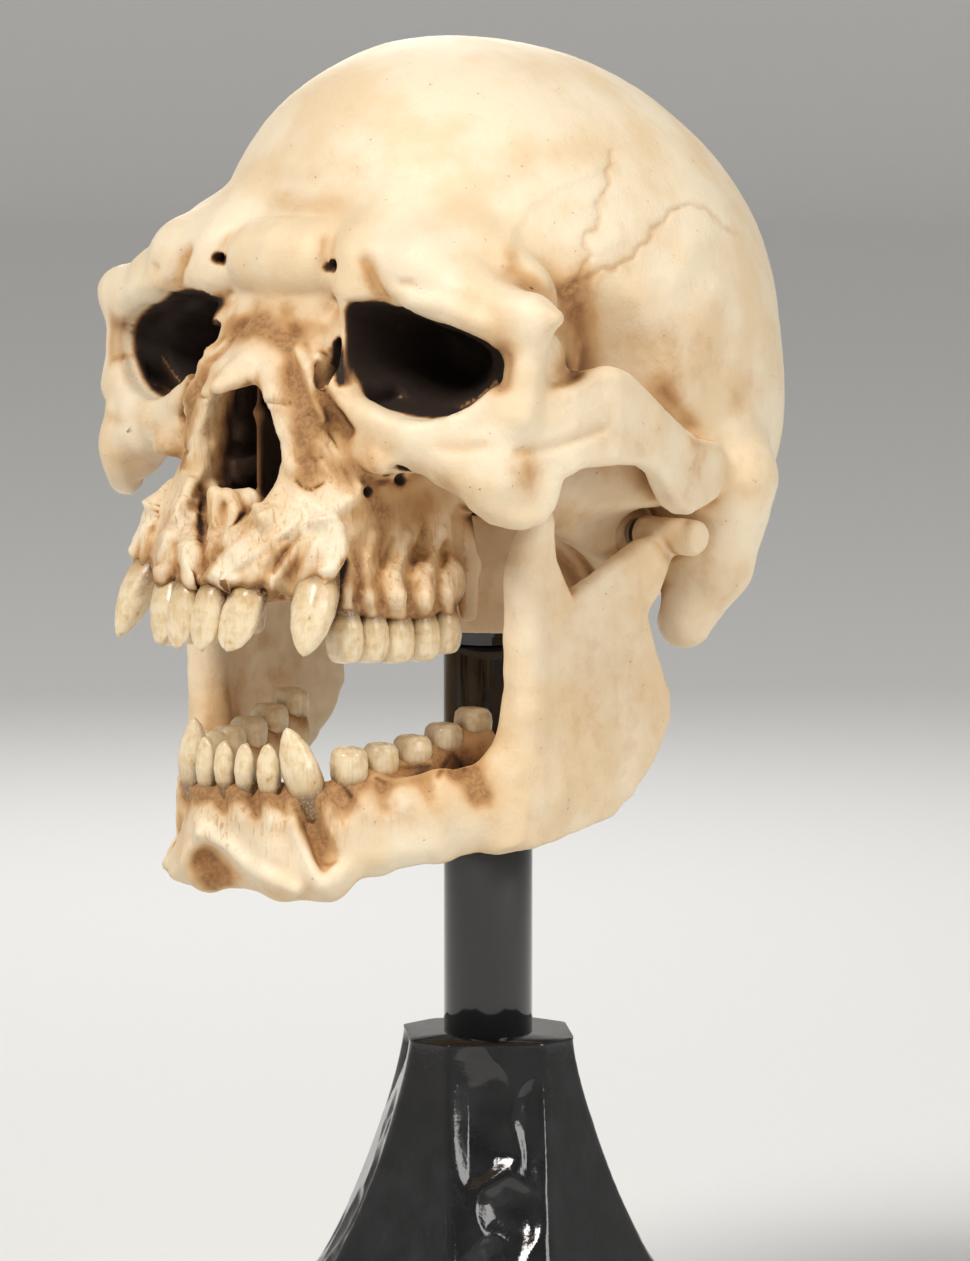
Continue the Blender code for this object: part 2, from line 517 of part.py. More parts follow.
def add_branch(bm, side):
    """One upright branch of the jaw: a plate with the outline's shape, standing fore and aft."""
    outline = bpy.data.curves.new("branch_outline", "CURVE")
    outline.dimensions = "2D"
    outline.fill_mode = "BOTH"
    outline.extrude = (RAMUS_HALF_SHARE - RAMUS_ROUNDING_SHARE) * ACROSS
    outline.bevel_depth = RAMUS_ROUNDING_SHARE * ACROSS
    outline.bevel_resolution = 1
    outline.offset = -RAMUS_ROUNDING_SHARE * ACROSS
    spline = outline.splines.new("POLY")
    spline.points.add(len(RAMUS_OUTLINE_SHARES) - 1)
    spline.use_cyclic_u = True
    for point, (along, up) in zip(spline.points, RAMUS_OUTLINE_SHARES):
        point.co = (along * ALONG, SKULL_SEAT_HEIGHT + up * UP, 0.0, 1.0)
    shape = bpy.data.objects.new("branch_outline", outline)
    bpy.context.scene.collection.objects.link(shape)
    bpy.context.view_layer.update()
    mesh = bpy.data.meshes.new_from_object(shape)
    bpy.data.objects.remove(shape)
    bpy.data.curves.remove(outline)
    plate = bmesh.new()
    plate.from_mesh(mesh)
    bmesh.ops.remove_doubles(plate, verts=plate.verts, dist=MERGE_REACH)
    upright = Matrix(((0.0, 0.0, 1.0), (1.0, 0.0, 0.0), (0.0, 1.0, 0.0))).to_4x4()
    plate.transform(Matrix.Translation((side * RAMUS_MIDDLE_SHARE * ACROSS, 0.0, 0.0)) @ upright)
    plate.to_mesh(mesh)
    plate.free()
    bm.from_mesh(mesh)
    bpy.data.meshes.remove(mesh)


def build_teeth(jaw, table, group, material, parent, cutters):
    """The teeth of one jaw, and the collection of slightly larger ones that cut their sockets."""
    sockets = bpy.data.collections.new(jaw + "_tooth_sockets")
    cutters.children.link(sockets)
    for kind, gum, tip, wide, deep, turn, form in table:
        for side, side_name in ((1, "left"), (-1, "right")):
            name = "_".join((jaw, side_name, kind))
            neck, end = place(side * gum[0], gum[1], gum[2]), place(side * tip[0], tip[1], tip[2])
            sizes = (neck, end, wide * ACROSS, deep * ACROSS, side * math.radians(turn), form)
            new_object(name, tooth_mesh(*sizes), group, material, parent)
            hide_cutter(new_object(name + "_socket", tooth_mesh(*sizes, grow=GAP), sockets))
    return sockets


def side_cylinder(bm, inner, outer, radius, side):
    """A cylinder on the hinge axis, between two distances from the middle of the skull."""
    middle = Vector((side * (inner + outer) / 2, HINGE.y, HINGE.z))
    turn = Matrix.Rotation(math.pi / 2, 4, "Y")
    bmesh.ops.create_cone(bm, cap_ends=True, segments=ROUND_STEPS, radius1=radius, radius2=radius,
                          depth=outer - inner, matrix=Matrix.Translation(middle) @ turn)


def add_orbit(bm, side):
    """The tapering hollow of one eye, squarer than an ellipse."""
    rim = place(side * ORBIT_RIM_SHARE[0], ORBIT_RIM_SHARE[1], ORBIT_RIM_SHARE[2])
    back = place(side * ORBIT_BACK_SHARE[0], ORBIT_BACK_SHARE[1], ORBIT_BACK_SHARE[2])
    made = bmesh.ops.create_cone(bm, cap_ends=True, segments=ORBIT_SIDES, radius1=1.0,
                                 radius2=ORBIT_BACK_SCALE_SHARE, depth=1.0)
    for vert in made["verts"]:
        x, y, depth = vert.co.x, vert.co.y, vert.co.z + 0.5
        radius = math.hypot(x, y)
        power = ORBIT_SQUARENESS_SHARE
        spread = radius / (abs(x) ** power + abs(y) ** power) ** (1.0 / power)
        wide = x * spread * ORBIT_HALF_SHARE[0]
        high = y * spread * ORBIT_HALF_SHARE[1]
        centre = rim.lerp(back, depth)
        vert.co = centre + Vector((wide * ACROSS, 0.0, (high + ORBIT_DROOP_SHARE * side * wide) * UP))


def build_cranium(group, cutters, material, pivot, sockets):
    """The skull without its jaw: blended volumes, worked hollows, then the fitted bores."""
    bm = bmesh.new()
    for shares in BRAINCASE_BALL_SHARES + FACE_BALL_SHARES + (ORBIT_BACK_BALL_SHARE, UPPER_JAW_BALL_SHARE):
        add_ball(bm, shares)
    cranium = new_object("cranium", bm, group, material, pivot)
    remesh(cranium, BLEND_VOXEL, 6)

    bm = bmesh.new()
    add_ball(bm, UNDERSIDE_BALL_SHARE)
    add_ball(bm, TEMPLE_HOLLOW_BALL_SHARE)
    add_limb(bm, JAW_SWING_LIMB_SHARES)
    underside = new_object("underside_hollow", bm, cutters)
    hide_cutter(underside)
    remesh(underside, BLEND_VOXEL, 0)
    cut(cranium, underside)

    bm = bmesh.new()
    for shares in (MASTOID_LIMB_SHARES, UPPER_LIP_LIMB_SHARES, UPPER_GUM_LIMB_SHARES, FANG_ROOT_LIMB_SHARES,
                   CHEEK_LIMB_SHARES, PILLAR_LIMB_SHARES, BROW_LIMB_SHARES, LOWER_RIM_LIMB_SHARES,
                   NOSE_LIMB_SHARES, NOSE_SIDE_LIMB_SHARES):
        add_limb(bm, shares)
    for shares in (ARCH_LIMB_SHARES, CHEEK_LOBE_LIMB_SHARES, ORBIT_WALL_LIMB_SHARES):
        add_limb(bm, shares, ARCH_SQUASH_SHARES)
    for shares in (UPPER_JAW_BALL_SHARE, CHEEK_ROOT_BALL_SHARE, ORBIT_FLOOR_BALL_SHARE):
        add_ball(bm, shares)
    ring_radius = SOCKET_RADIUS + GAP + SOCKET_WALL
    bmesh.ops.create_cone(bm, cap_ends=True, segments=ROUND_STEPS, radius1=ring_radius,
                          radius2=ring_radius * FORAMEN_SPREAD_SHARE, depth=FORAMEN_RIM_HEIGHT,
                          matrix=Matrix.Translation((0.0, 0.0, SKULL_BASE + FORAMEN_RIM_HEIGHT / 2)))
    limbs = new_object("face_and_arches", bm, cutters)
    hide_cutter(limbs)
    remesh(limbs, CUT_VOXEL, 2)
    join = cranium.modifiers.new("Join", "BOOLEAN")
    join.operation = "UNION"
    join.solver = "EXACT"
    join.object = limbs

    bm = bmesh.new()
    add_ball(bm, PALATE_BALL_SHARE)
    add_ball(bm, CHEEK_HOLLOW_BALL_SHARE)
    for side in (1, -1):
        add_orbit(bm, side)
    add_limb(bm, NOSE_HOLE_LIMB_SHARES, NOSE_HOLE_DRAW_SHARES)
    for shares in NERVE_HOLE_LIMB_SHARES:
        add_limb(bm, shares)
    hollows = new_object("face_hollows", bm, cutters)
    hide_cutter(hollows)
    remesh(hollows, FINE_VOXEL, 0)
    cut(cranium, hollows)
    remesh(cranium, CUT_VOXEL, 3)
    thin_out(cranium, CRANIUM_KEEP_SHARE)

    bm = bmesh.new()
    for shares in BRAIN_BALL_SHARES:
        add_ball(bm, shares)
    brain = new_object("brain_hollow", bm, cutters)
    hide_cutter(brain)
    remesh(brain, BRAIN_VOXEL, 3)
    thin_out(brain, BRAIN_KEEP_SHARE)

    fits = bpy.data.collections.new("cranium_fits")
    cutters.children.link(fits)
    bm = bmesh.new()
    well_top = SOCKET_BOTTOM + SOCKET_HEIGHT + GAP
    well_start = SOCKET_BOTTOM - WELL_OVERRUN
    bmesh.ops.create_cone(bm, cap_ends=True, segments=ROUND_STEPS, radius1=SOCKET_RADIUS + GAP,
                          radius2=SOCKET_RADIUS + GAP, depth=well_top - well_start,
                          matrix=Matrix.Translation((0.0, 0.0, (well_top + well_start) / 2)))
    hide_cutter(new_object("foramen", bm, fits))
    fossa_radius = CONDYLE_RADIUS + FOSSA_CLEARANCE
    for side, side_name in ((1, "left"), (-1, "right")):
        bm = bmesh.new()
        side_cylinder(bm, FOSSA_WALL, ARCH_REACH, fossa_radius, side)
        hide_cutter(new_object("fossa_" + side_name, bm, fits))
        bm = bmesh.new()
        side_cylinder(bm, FOSSA_WALL - PIN_GRIP - GAP, FOSSA_WALL + OVERRUN, PIN_RADIUS + GAP, side)
        hide_cutter(new_object("pin_bore_" + side_name, bm, fits))
    cut(cranium, brain)
    cut(cranium, fits)
    cut(cranium, sockets)


def build_hinge_pins(group, pivot, material):
    """On each side a pin held in the skull, and a washer between the skull and the jaw's condyle."""
    head_seat = CONDYLE_OUTER + GAP
    for side, side_name in ((1, "left"), (-1, "right")):
        bm = bmesh.new()
        side_cylinder(bm, FOSSA_WALL - PIN_GRIP, head_seat + PIN_HEAD_THICKNESS / 2, PIN_RADIUS, side)
        shank = new_object("jaw_pin_" + side_name, bm, group, material, pivot)
        bm = bmesh.new()
        side_cylinder(bm, head_seat, head_seat + PIN_HEAD_THICKNESS, PIN_HEAD_RADIUS, side)
        join_mesh(shank, bm, pivot)
        washer_bore = bmesh.new()
        washer_inner = FOSSA_WALL + GAP
        washer_outer = washer_inner + WASHER_THICKNESS
        side_cylinder(washer_bore, washer_inner - OVERRUN, washer_outer + OVERRUN, PIN_RADIUS + GAP, side)
        bore = new_object("jaw_washer_bore_" + side_name, washer_bore, bpy.data.collections["cutters"])
        hide_cutter(bore)
        bm = bmesh.new()
        side_cylinder(bm, washer_inner, washer_outer, WASHER_RADIUS, side)
        washer = new_object("jaw_washer_" + side_name, bm, group, material, pivot)
        cut(washer, bore)


def build_mandible(group, cutters, material, hinge, sockets):
    """The lower jaw: flat upright branches, a deep body, a broad chin, and a bored condyle each side."""
    bm = bmesh.new()
    for shares in (NECK_LIMB_SHARES, JAW_SHELF_LIMB_SHARES, CHIN_LIMB_SHARES):
        add_limb(bm, shares)
    add_limb(bm, JAW_BODY_LIMB_SHARES, JAW_BODY_DRAW_SHARES)
    add_limb(bm, LOWER_GUM_LIMB_SHARES, LOWER_GUM_DRAW_SHARES)
    for side in (1, -1):
        side_cylinder(bm, CONDYLE_INNER, CONDYLE_OUTER, CONDYLE_RADIUS, side)
        add_branch(bm, side)
    mandible = new_object("mandible", bm, group, material, hinge)
    remesh(mandible, CUT_VOXEL, 4)
    thin_out(mandible, MANDIBLE_KEEP_SHARE)
    fits = bpy.data.collections.new("mandible_fits")
    cutters.children.link(fits)
    for side, side_name in ((1, "left"), (-1, "right")):
        bm = bmesh.new()
        side_cylinder(bm, CONDYLE_INNER - OVERRUN, CONDYLE_OUTER + OVERRUN, PIN_RADIUS + GAP, side)
        hide_cutter(new_object("condyle_bore_" + side_name, bm, fits))
        for reach, face in (("inner", CONDYLE_INNER), ("outer", CONDYLE_OUTER)):
            away = -1 if reach == "inner" else 1
            low, high = sorted((face, face + away * (CONDYLE_RADIUS + CONDYLE_RADIUS)))
            bm = bmesh.new()
            side_cylinder(bm, low, high, CONDYLE_RADIUS + OVERRUN, side)
            hide_cutter(new_object("_".join(("condyle_face", reach, side_name)), bm, fits))
    cut(mandible, fits)
    cut(mandible, sockets)


def main():
    clear_scene()
    parts = new_collection("fantasy_skull_statue", False)
    cutters = new_collection("cutters", True)
    materials = {
        "bone": new_material("bone", (0.80, 0.66, 0.47), 0.5, 0.0),
        "enamel": new_material("enamel", (0.82, 0.66, 0.42), 0.28, 0.0),
        "black_stone": new_material("black_stone", (0.010, 0.010, 0.011), 0.12, 0.0),
        "black_post": new_material("black_post", (0.012, 0.012, 0.013), 0.15, 0.0),
        "steel": new_material("steel", (0.56, 0.56, 0.57), 0.3, 1.0),
        "felt": new_material("felt", (0.02, 0.02, 0.02), 0.95, 0.0),
    }
    build_stand(parts, cutters, materials)
    pivot = bpy.data.objects.new("skull_pivot", None)
    pivot.location = (0.0, 0.0, CAP_TOP)
    parts.objects.link(pivot)
    build_cap(parts, pivot, materials["steel"])
    build_socket(parts, pivot, materials["black_post"])
    upper_sockets = build_teeth("upper", UPPER_TOOTH_SHARES, parts, materials["enamel"], pivot, cutters)
    build_cranium(parts, cutters, materials["bone"], pivot, upper_sockets)
    build_hinge_pins(parts, pivot, materials["steel"])
    hinge = bpy.data.objects.new("jaw_hinge", None)
    hinge.location = HINGE
    parts.objects.link(hinge)
    lower_sockets = build_teeth("lower", LOWER_TOOTH_SHARES, parts, materials["enamel"], hinge, cutters)
    build_mandible(parts, cutters, materials["bone"], hinge, lower_sockets)


main()
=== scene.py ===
"""How the fantasy skull on its black stand looks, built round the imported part."""
import math

import bmesh
import bpy
import numpy as np
from mathutils import Matrix, Vector


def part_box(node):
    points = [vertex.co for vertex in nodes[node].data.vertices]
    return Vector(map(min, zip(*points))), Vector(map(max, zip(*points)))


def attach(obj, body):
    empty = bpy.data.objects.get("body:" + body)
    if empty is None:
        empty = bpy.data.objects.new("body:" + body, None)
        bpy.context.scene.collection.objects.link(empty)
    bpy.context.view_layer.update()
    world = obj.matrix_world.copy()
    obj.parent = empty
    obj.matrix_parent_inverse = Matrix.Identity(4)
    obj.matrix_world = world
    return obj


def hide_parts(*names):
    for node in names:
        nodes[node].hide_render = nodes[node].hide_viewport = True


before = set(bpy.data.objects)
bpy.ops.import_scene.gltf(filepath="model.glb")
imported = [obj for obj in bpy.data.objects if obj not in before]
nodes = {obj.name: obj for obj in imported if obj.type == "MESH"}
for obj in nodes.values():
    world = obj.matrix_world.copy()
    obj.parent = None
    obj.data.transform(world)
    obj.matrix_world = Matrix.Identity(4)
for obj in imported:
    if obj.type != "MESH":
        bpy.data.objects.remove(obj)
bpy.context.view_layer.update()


# The room: a pale floor of matt paper that turns up into a round wall five metres off, lit by soft
# boxes from the front, the right and behind. The camera is where the photograph was taken from:
# a little above the face and forty degrees round to the skull's left.
MM = 0.001
SEAT = 235.0
PICTURE_WIDE, PICTURE_HIGH = 970.0, 1261.0
PIXELS_PER_MM = 3.4
CAMERA_FAR = 2400.0
CAMERA_TURN = math.radians(40.0)
CAMERA_RISE = math.radians(6.9)
AIM = Vector((-0.7, -0.6, 2.6 + SEAT))
FILM = 36.0

scene = bpy.context.scene
ahead = Vector((-math.sin(CAMERA_TURN) * math.cos(CAMERA_RISE),
                math.cos(CAMERA_TURN) * math.cos(CAMERA_RISE), -math.sin(CAMERA_RISE)))
across = ahead.cross(Vector((0, 0, 1))).normalized()
upward = across.cross(ahead)
lens = bpy.data.cameras.new("camera")
lens.sensor_width = FILM
lens.lens = PIXELS_PER_MM * CAMERA_FAR / PICTURE_HIGH * FILM
lens.clip_end = 20.0
camera = bpy.data.objects.new("camera", lens)
camera.matrix_world = (Matrix.Translation((AIM - ahead * CAMERA_FAR) * MM)
                       @ ahead.to_track_quat("-Z", "Y").to_matrix().to_4x4())
scene.collection.objects.link(camera)
scene.camera = camera
scene.view_settings.view_transform = "Standard"


class Value:
    """One number worked out at each point of a surface; sums of such numbers make nodes."""

    def __init__(self, finish, socket):
        self.finish, self.socket = finish, socket

    def maths(self, how, *others, clamp=False):
        return self.finish.maths(how, self, *others, clamp=clamp)

    def __add__(self, other):
        return self.maths("ADD", other)

    def __sub__(self, other):
        return self.maths("SUBTRACT", other)

    def __mul__(self, other):
        return self.maths("MULTIPLY", other)

    def __truediv__(self, other):
        return self.maths("DIVIDE", other)

    def __rsub__(self, other):
        return self.finish.maths("SUBTRACT", other, self)

    def __rtruediv__(self, other):
        return self.finish.maths("DIVIDE", other, self)

    def __pow__(self, other):
        return self.maths("POWER", other)

    __radd__, __rmul__ = __add__, __mul__

    def clamp(self):
        return self.maths("ADD", 0.0, clamp=True)

    def step(self, low, high):
        """0 below low, 1 above high, smooth between; low may be the larger."""
        node = self.finish.node("ShaderNodeMapRange", {"interpolation_type": "SMOOTHSTEP"},
                                {0: self, 1: low, 2: high, 3: 0.0, 4: 1.0})
        return Value(self.finish, node.outputs[0])


class Finish:
    """A material being made: every node comes from node(), and its points are in object space."""

    def __init__(self, name, tree=None):
        self.tree = tree
        if tree is None:
            self.material = bpy.data.materials.new(name)
            self.material.use_nodes = True
            self.tree = self.material.node_tree
            self.shader = self.tree.nodes["Principled BSDF"]
            self.place = self.node("ShaderNodeTexCoord", {}, {}).outputs["Object"]

    def node(self, kind, settings, inputs):
        made = self.tree.nodes.new(kind)
        for name, value in settings.items():
            setattr(made, name, value)
        for key, value in inputs.items():
            socket = made.inputs[key]
            value = getattr(value, "socket", value)
            if isinstance(value, bpy.types.NodeSocket):
                self.tree.links.new(value, socket)
            else:
                socket.default_value = value
        return made

    def maths(self, how, *values, clamp=False):
        made = self.node("ShaderNodeMath", {"operation": how, "use_clamp": clamp}, dict(enumerate(values)))
        return Value(self, made.outputs[0])

    def stretched(self, shares):
        """The surface's own points, drawn out or squeezed along each axis."""
        made = self.node("ShaderNodeVectorMath", {"operation": "MULTIPLY"}, {0: self.place, 1: shares})
        return made.outputs[0]

    def grain(self, size, detail=3.0, place=None, twist=0.0, rough=0.55):
        """Soft cloudy grain, 0 to 1, with clouds of that many millimetres."""
        made = self.node("ShaderNodeTexNoise", {},
                         {"Vector": place or self.place, "Scale": 1.0 / (size * MM), "Detail": detail,
                          "Roughness": rough, "Distortion": twist})
        return Value(self, made.outputs["Fac"])

    def cells(self, size, how="F1", place=None):
        made = self.node("ShaderNodeTexVoronoi", {"feature": how},
                         {"Vector": place or self.place, "Scale": 1.0 / (size * MM)})
        return Value(self, made.outputs["Distance"])

    def painted(self, name):
        """A number that was worked out for each point of the mesh and kept on it."""
        return Value(self, self.node("ShaderNodeAttribute", {"attribute_name": name}, {}).outputs["Fac"])

    def mix(self, share, under, over):
        under, over = [v if isinstance(v, bpy.types.NodeSocket) else (*v, 1.0) for v in (under, over)]
        made = self.node("ShaderNodeMix", {"data_type": "RGBA"}, {0: share, 6: under, 7: over})
        return made.outputs[2]

    def set(self, colour=None, rough=None, height=None, relief=0.3, coat=None, coat_rough=0.1, metal=None):
        """Fits the colour, the roughness and the height of the surface, in millimetres, to the shader."""
        if colour is not None:
            if isinstance(colour, bpy.types.NodeSocket):
                self.tree.links.new(colour, self.shader.inputs["Base Color"])
            else:
                self.shader.inputs["Base Color"].default_value = (*colour, 1.0)
        for name, value in (("Roughness", rough), ("Coat Weight", coat), ("Metallic", metal)):
            if isinstance(value, Value):
                self.tree.links.new(value.socket, self.shader.inputs[name])
            elif value is not None:
                self.shader.inputs[name].default_value = value
        self.shader.inputs["Coat Roughness"].default_value = coat_rough
        if height is not None:
            bump = self.node("ShaderNodeBump", {},
                             {"Strength": 1.0, "Distance": relief * MM, "Height": height})
            self.tree.links.new(bump.outputs[0], self.shader.inputs["Normal"])
        return self.material


def soft_box(name, place, size, watts, colour=(1.0, 1.0, 1.0)):
    lamp = bpy.data.lights.new(name, "AREA")
    lamp.shape = "RECTANGLE"
    lamp.size, lamp.size_y = size
    lamp.energy = watts
    lamp.color = colour
    box = bpy.data.objects.new(name, lamp)
    place = Vector(place)
    aim = Vector((0.0, -0.02, 0.28)) - place
    box.matrix_world = Matrix.Translation(place) @ aim.to_track_quat("-Z", "Y").to_matrix().to_4x4()
    scene.collection.objects.link(box)


soft_box("front_box", (0.29, -2.86, 3.67), (1.45, 1.45), 150.0, (1.0, 0.965, 0.92))
soft_box("side_box", (1.30, 0.10, 0.95), (0.5, 0.9), 8.0, (1.0, 0.98, 0.95))
soft_box("far_box", (-0.9, 0.9, 0.9), (0.5, 0.9), 5.0)
world = bpy.data.worlds.new("room")
scene.world = world
world.use_nodes = True
world.node_tree.nodes["Background"].inputs[0].default_value = (1.0, 1.0, 1.0, 1.0)
world.node_tree.nodes["Background"].inputs[1].default_value = 0.20

FLOOR_WIDE, WALL_BEND, WALL_HIGH, WALL_SIDES = 5.0, 0.6, 3.2, 96
outline = [(2.5, 0.0)]
for step in range(13):
    angle = math.pi / 2 * step / 12
    outline.append((FLOOR_WIDE + WALL_BEND * math.sin(angle), WALL_BEND * (1 - math.cos(angle))))
outline.append((FLOOR_WIDE + WALL_BEND, WALL_HIGH))
bm = bmesh.new()
columns = []
for side in range(WALL_SIDES):
    angle = 2 * math.pi * side / WALL_SIDES
    columns.append([bm.verts.new((far * math.cos(angle), far * math.sin(angle), high))
                    for far, high in outline])
bm.faces.new([column[0] for column in columns])
for i, column in enumerate(columns):
    following = columns[(i + 1) % WALL_SIDES]
    for k in range(len(column) - 1):
        bm.faces.new((column[k], column[k + 1], following[k + 1], following[k]))
floor_mesh = bpy.data.meshes.new("paper_floor")
bm.to_mesh(floor_mesh)
bm.free()
floor_mesh.shade_smooth()
paper = Finish("paper")
pale = paper.mix(paper.grain(3.0, 4.0), (0.80, 0.80, 0.79), (0.84, 0.84, 0.83))
floor_mesh.materials.append(paper.set(colour=pale, rough=0.9, height=paper.grain(0.8, 4.0), relief=0.05))
floor = bpy.data.objects.new("paper_floor", floor_mesh)
scene.collection.objects.link(floor)


# The foot: a pedestal of cast black resin, polished, square and flaring, with its corners taken
# off. The corner faces are knapped like flint, in shallow scoops. A felt pad is stuck underneath.
foot_low, foot_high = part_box("pedestal")
FOOT_HALF = foot_high.x
TOP_HALF, PLINTH_HIGH, CORNER_FACE, SCOOP_DEEP, SCOOP_SIZE = 0.027, 0.012, 0.028, 0.0034, 0.019
SLOPE_SHARE, SLOPE_POWER, SKIRT_POWER = 0.62, 1.37, 7.0    # a gentle slope, and a skirt near the floor
CORNER_ROUND, CORNER_FADE = 0.0025, 0.004

resin = Finish("black_resin")
cloud = resin.grain(9.0, 4.0)
scuff = resin.grain(0.7, 2.0, resin.stretched((1.0, 1.0, 0.15))).step(0.62, 0.8)
resin.set(colour=resin.mix(cloud.step(0.35, 0.75), (0.006, 0.006, 0.007), (0.017, 0.017, 0.019)),
          rough=0.10 + 0.10 * cloud.step(0.4, 0.8) + 0.15 * scuff,
          height=resin.grain(2.2, 2.0) + 0.15 * scuff, relief=0.12, coat=0.4, coat_rough=0.06)

group = bpy.data.node_groups.new("flared_foot", "GeometryNodeTree")
lengths = (("Height", foot_high.z - foot_low.z), ("Foot half", FOOT_HALF), ("Top half", TOP_HALF),
           ("Plinth high", PLINTH_HIGH), ("Corner face", CORNER_FACE), ("Slope share", SLOPE_SHARE),
           ("Slope power", SLOPE_POWER), ("Skirt power", SKIRT_POWER), ("Scoop deep", SCOOP_DEEP),
           ("Scoop size", SCOOP_SIZE))
for name, value in lengths:
    socket = group.interface.new_socket(name, in_out="INPUT", socket_type="NodeSocketFloat")
    socket.default_value = value
group.interface.new_socket("Finish", in_out="INPUT", socket_type="NodeSocketMaterial")
group.interface.new_socket("Mesh", in_out="OUTPUT", socket_type="NodeSocketGeometry")
foot = Finish("flared_foot", group)
given = foot.node("NodeGroupInput", {}, {}).outputs
size = {name: Value(foot, given[name]) for name, _ in lengths}
drum = foot.node("GeometryNodeMeshCylinder", {"fill_type": "NGON"},
                 {"Vertices": 400, "Side Segments": 170, "Radius": 1.0, "Depth": 1.0})
start = foot.node("GeometryNodeInputPosition", {}, {})
spot = foot.node("ShaderNodeSeparateXYZ", {}, {0: start.outputs[0]})
x, y, z = [Value(foot, socket) for socket in spot.outputs]
height = (z + 0.5) * size["Height"]
rise = ((height - size["Plinth high"]) / (size["Height"] - size["Plinth high"])).clamp()
down = 1.0 - rise
flare = (size["Slope share"] * down ** size["Slope power"]
         + (1.0 - size["Slope share"]) * down ** size["Skirt power"])
half = size["Top half"] + (size["Foot half"] - size["Top half"]) * flare
ax, ay = x.maths("ABSOLUTE"), y.maths("ABSOLUTE")
flat = half / ax.maths("MAXIMUM", ay)
corner = (2.0 * half - size["Corner face"] * math.sqrt(0.5)) / (ax + ay)
reach = flat.maths("SMOOTH_MIN", corner, CORNER_ROUND)
on_corner = ((flat - corner) / CORNER_FADE).clamp() * (rise * 14.0).clamp() * ((1.0 - rise) * 25.0).clamp()
place = foot.node("ShaderNodeCombineXYZ", {}, {0: x * reach, 1: y * reach, 2: height * 0.75})
bend = foot.node("ShaderNodeTexNoise", {}, {"Vector": place.outputs[0], "Scale": 45.0, "Detail": 2.0})
pushed = foot.node("ShaderNodeVectorMath", {"operation": "MULTIPLY_ADD"},
                   {0: bend.outputs["Color"], 1: (0.016, 0.016, 0.016), 2: place.outputs[0]})
scoop = foot.node("ShaderNodeTexVoronoi", {"feature": "SMOOTH_F1"},
                  {"Vector": pushed.outputs[0], "Scale": 1.0 / size["Scoop size"], "Smoothness": 0.25})
scoop = Value(foot, scoop.outputs["Distance"])
reach = reach - on_corner * size["Scoop deep"] * (1.0 - scoop * scoop * 2.2).clamp()
moved = foot.node("ShaderNodeCombineXYZ", {}, {0: x * reach, 1: y * reach, 2: height})
shaped = foot.node("GeometryNodeSetPosition", {},
                   {"Geometry": drum.outputs["Mesh"], "Position": moved.outputs[0]})
smooth = foot.node("GeometryNodeSetShadeSmooth", {}, {"Geometry": shaped.outputs[0]})
real = foot.node("GeometryNodeRealizeInstances", {}, {"Geometry": smooth.outputs[0]})
coated = foot.node("GeometryNodeSetMaterial", {},
                   {"Geometry": real.outputs[0], "Material": given["Finish"]})
foot.node("NodeGroupOutput", {}, {0: coated.outputs[0]})


def grown(name, group, **inputs):
    """The mesh that a node group makes, as a plain object."""
    maker = bpy.data.objects.new(name, bpy.data.meshes.new(name))
    scene.collection.objects.link(maker)
    modifier = maker.modifiers.new("Shape", "NODES")
    modifier.node_group = group
    for item in group.interface.items_tree:
        if item.in_out == "INPUT" and item.name in inputs:
            modifier[item.identifier] = inputs[item.name]
    bpy.context.view_layer.update()
    mesh = bpy.data.meshes.new_from_object(maker.evaluated_get(bpy.context.evaluated_depsgraph_get()))
    maker.modifiers.clear()
    maker.data = mesh
    return maker


pedestal = grown("knapped_pedestal", group, Finish=resin.material)
for corner in pedestal.data.vertices:
    corner.co.z += foot_low.z
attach(pedestal, "stand")
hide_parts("pedestal")

felt = Finish("felt")
fibre = felt.grain(0.25, 5.0)
felt.set(colour=felt.mix(fibre, (0.010, 0.010, 0.011), (0.035, 0.034, 0.034)), rough=0.95,
         height=fibre + felt.grain(1.5, 3.0), relief=0.25)
nodes["base_felt"].material_slots[0].material = felt.material


# The post: a polished black rod that stands in the pedestal, its two ends broken by a small
# chamfer. A steel bolt and washer hold it from below, and the cap that turns sits on it.
POST_CHAMFER = 0.0008
ROUND_SIDES = 128


def lathe(name, profile, material, body, replaced):
    """A turned piece: (radius, height) points from the axis at the foot to the axis at the top."""
    bm = bmesh.new()
    columns = []
    for side in range(ROUND_SIDES):
        angle = 2 * math.pi * side / ROUND_SIDES
        columns.append([bm.verts.new((r * math.cos(angle), r * math.sin(angle), h)) for r, h in profile])
    for i, column in enumerate(columns):
        following = columns[(i + 1) % ROUND_SIDES]
        for k in range(len(profile) - 1):
            bm.faces.new((column[k], following[k], following[k + 1], column[k + 1]))
    if profile[0][0] != profile[-1][0] or profile[0][1] != profile[-1][1]:
        bm.faces.new([c[0] for c in reversed(columns)])
        bm.faces.new([c[-1] for c in columns])
    for edge in bm.edges:
        if len(edge.link_faces) == 2 and edge.calc_face_angle(0.0) > 0.6:
            edge.smooth = False
    mesh = bpy.data.meshes.new(name)
    bm.to_mesh(mesh)
    bm.free()
    for face in mesh.polygons:
        face.use_smooth = True
    mesh.materials.append(material)
    thing = bpy.data.objects.new(name, mesh)
    scene.collection.objects.link(thing)
    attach(thing, body)
    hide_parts(replaced)
    return thing


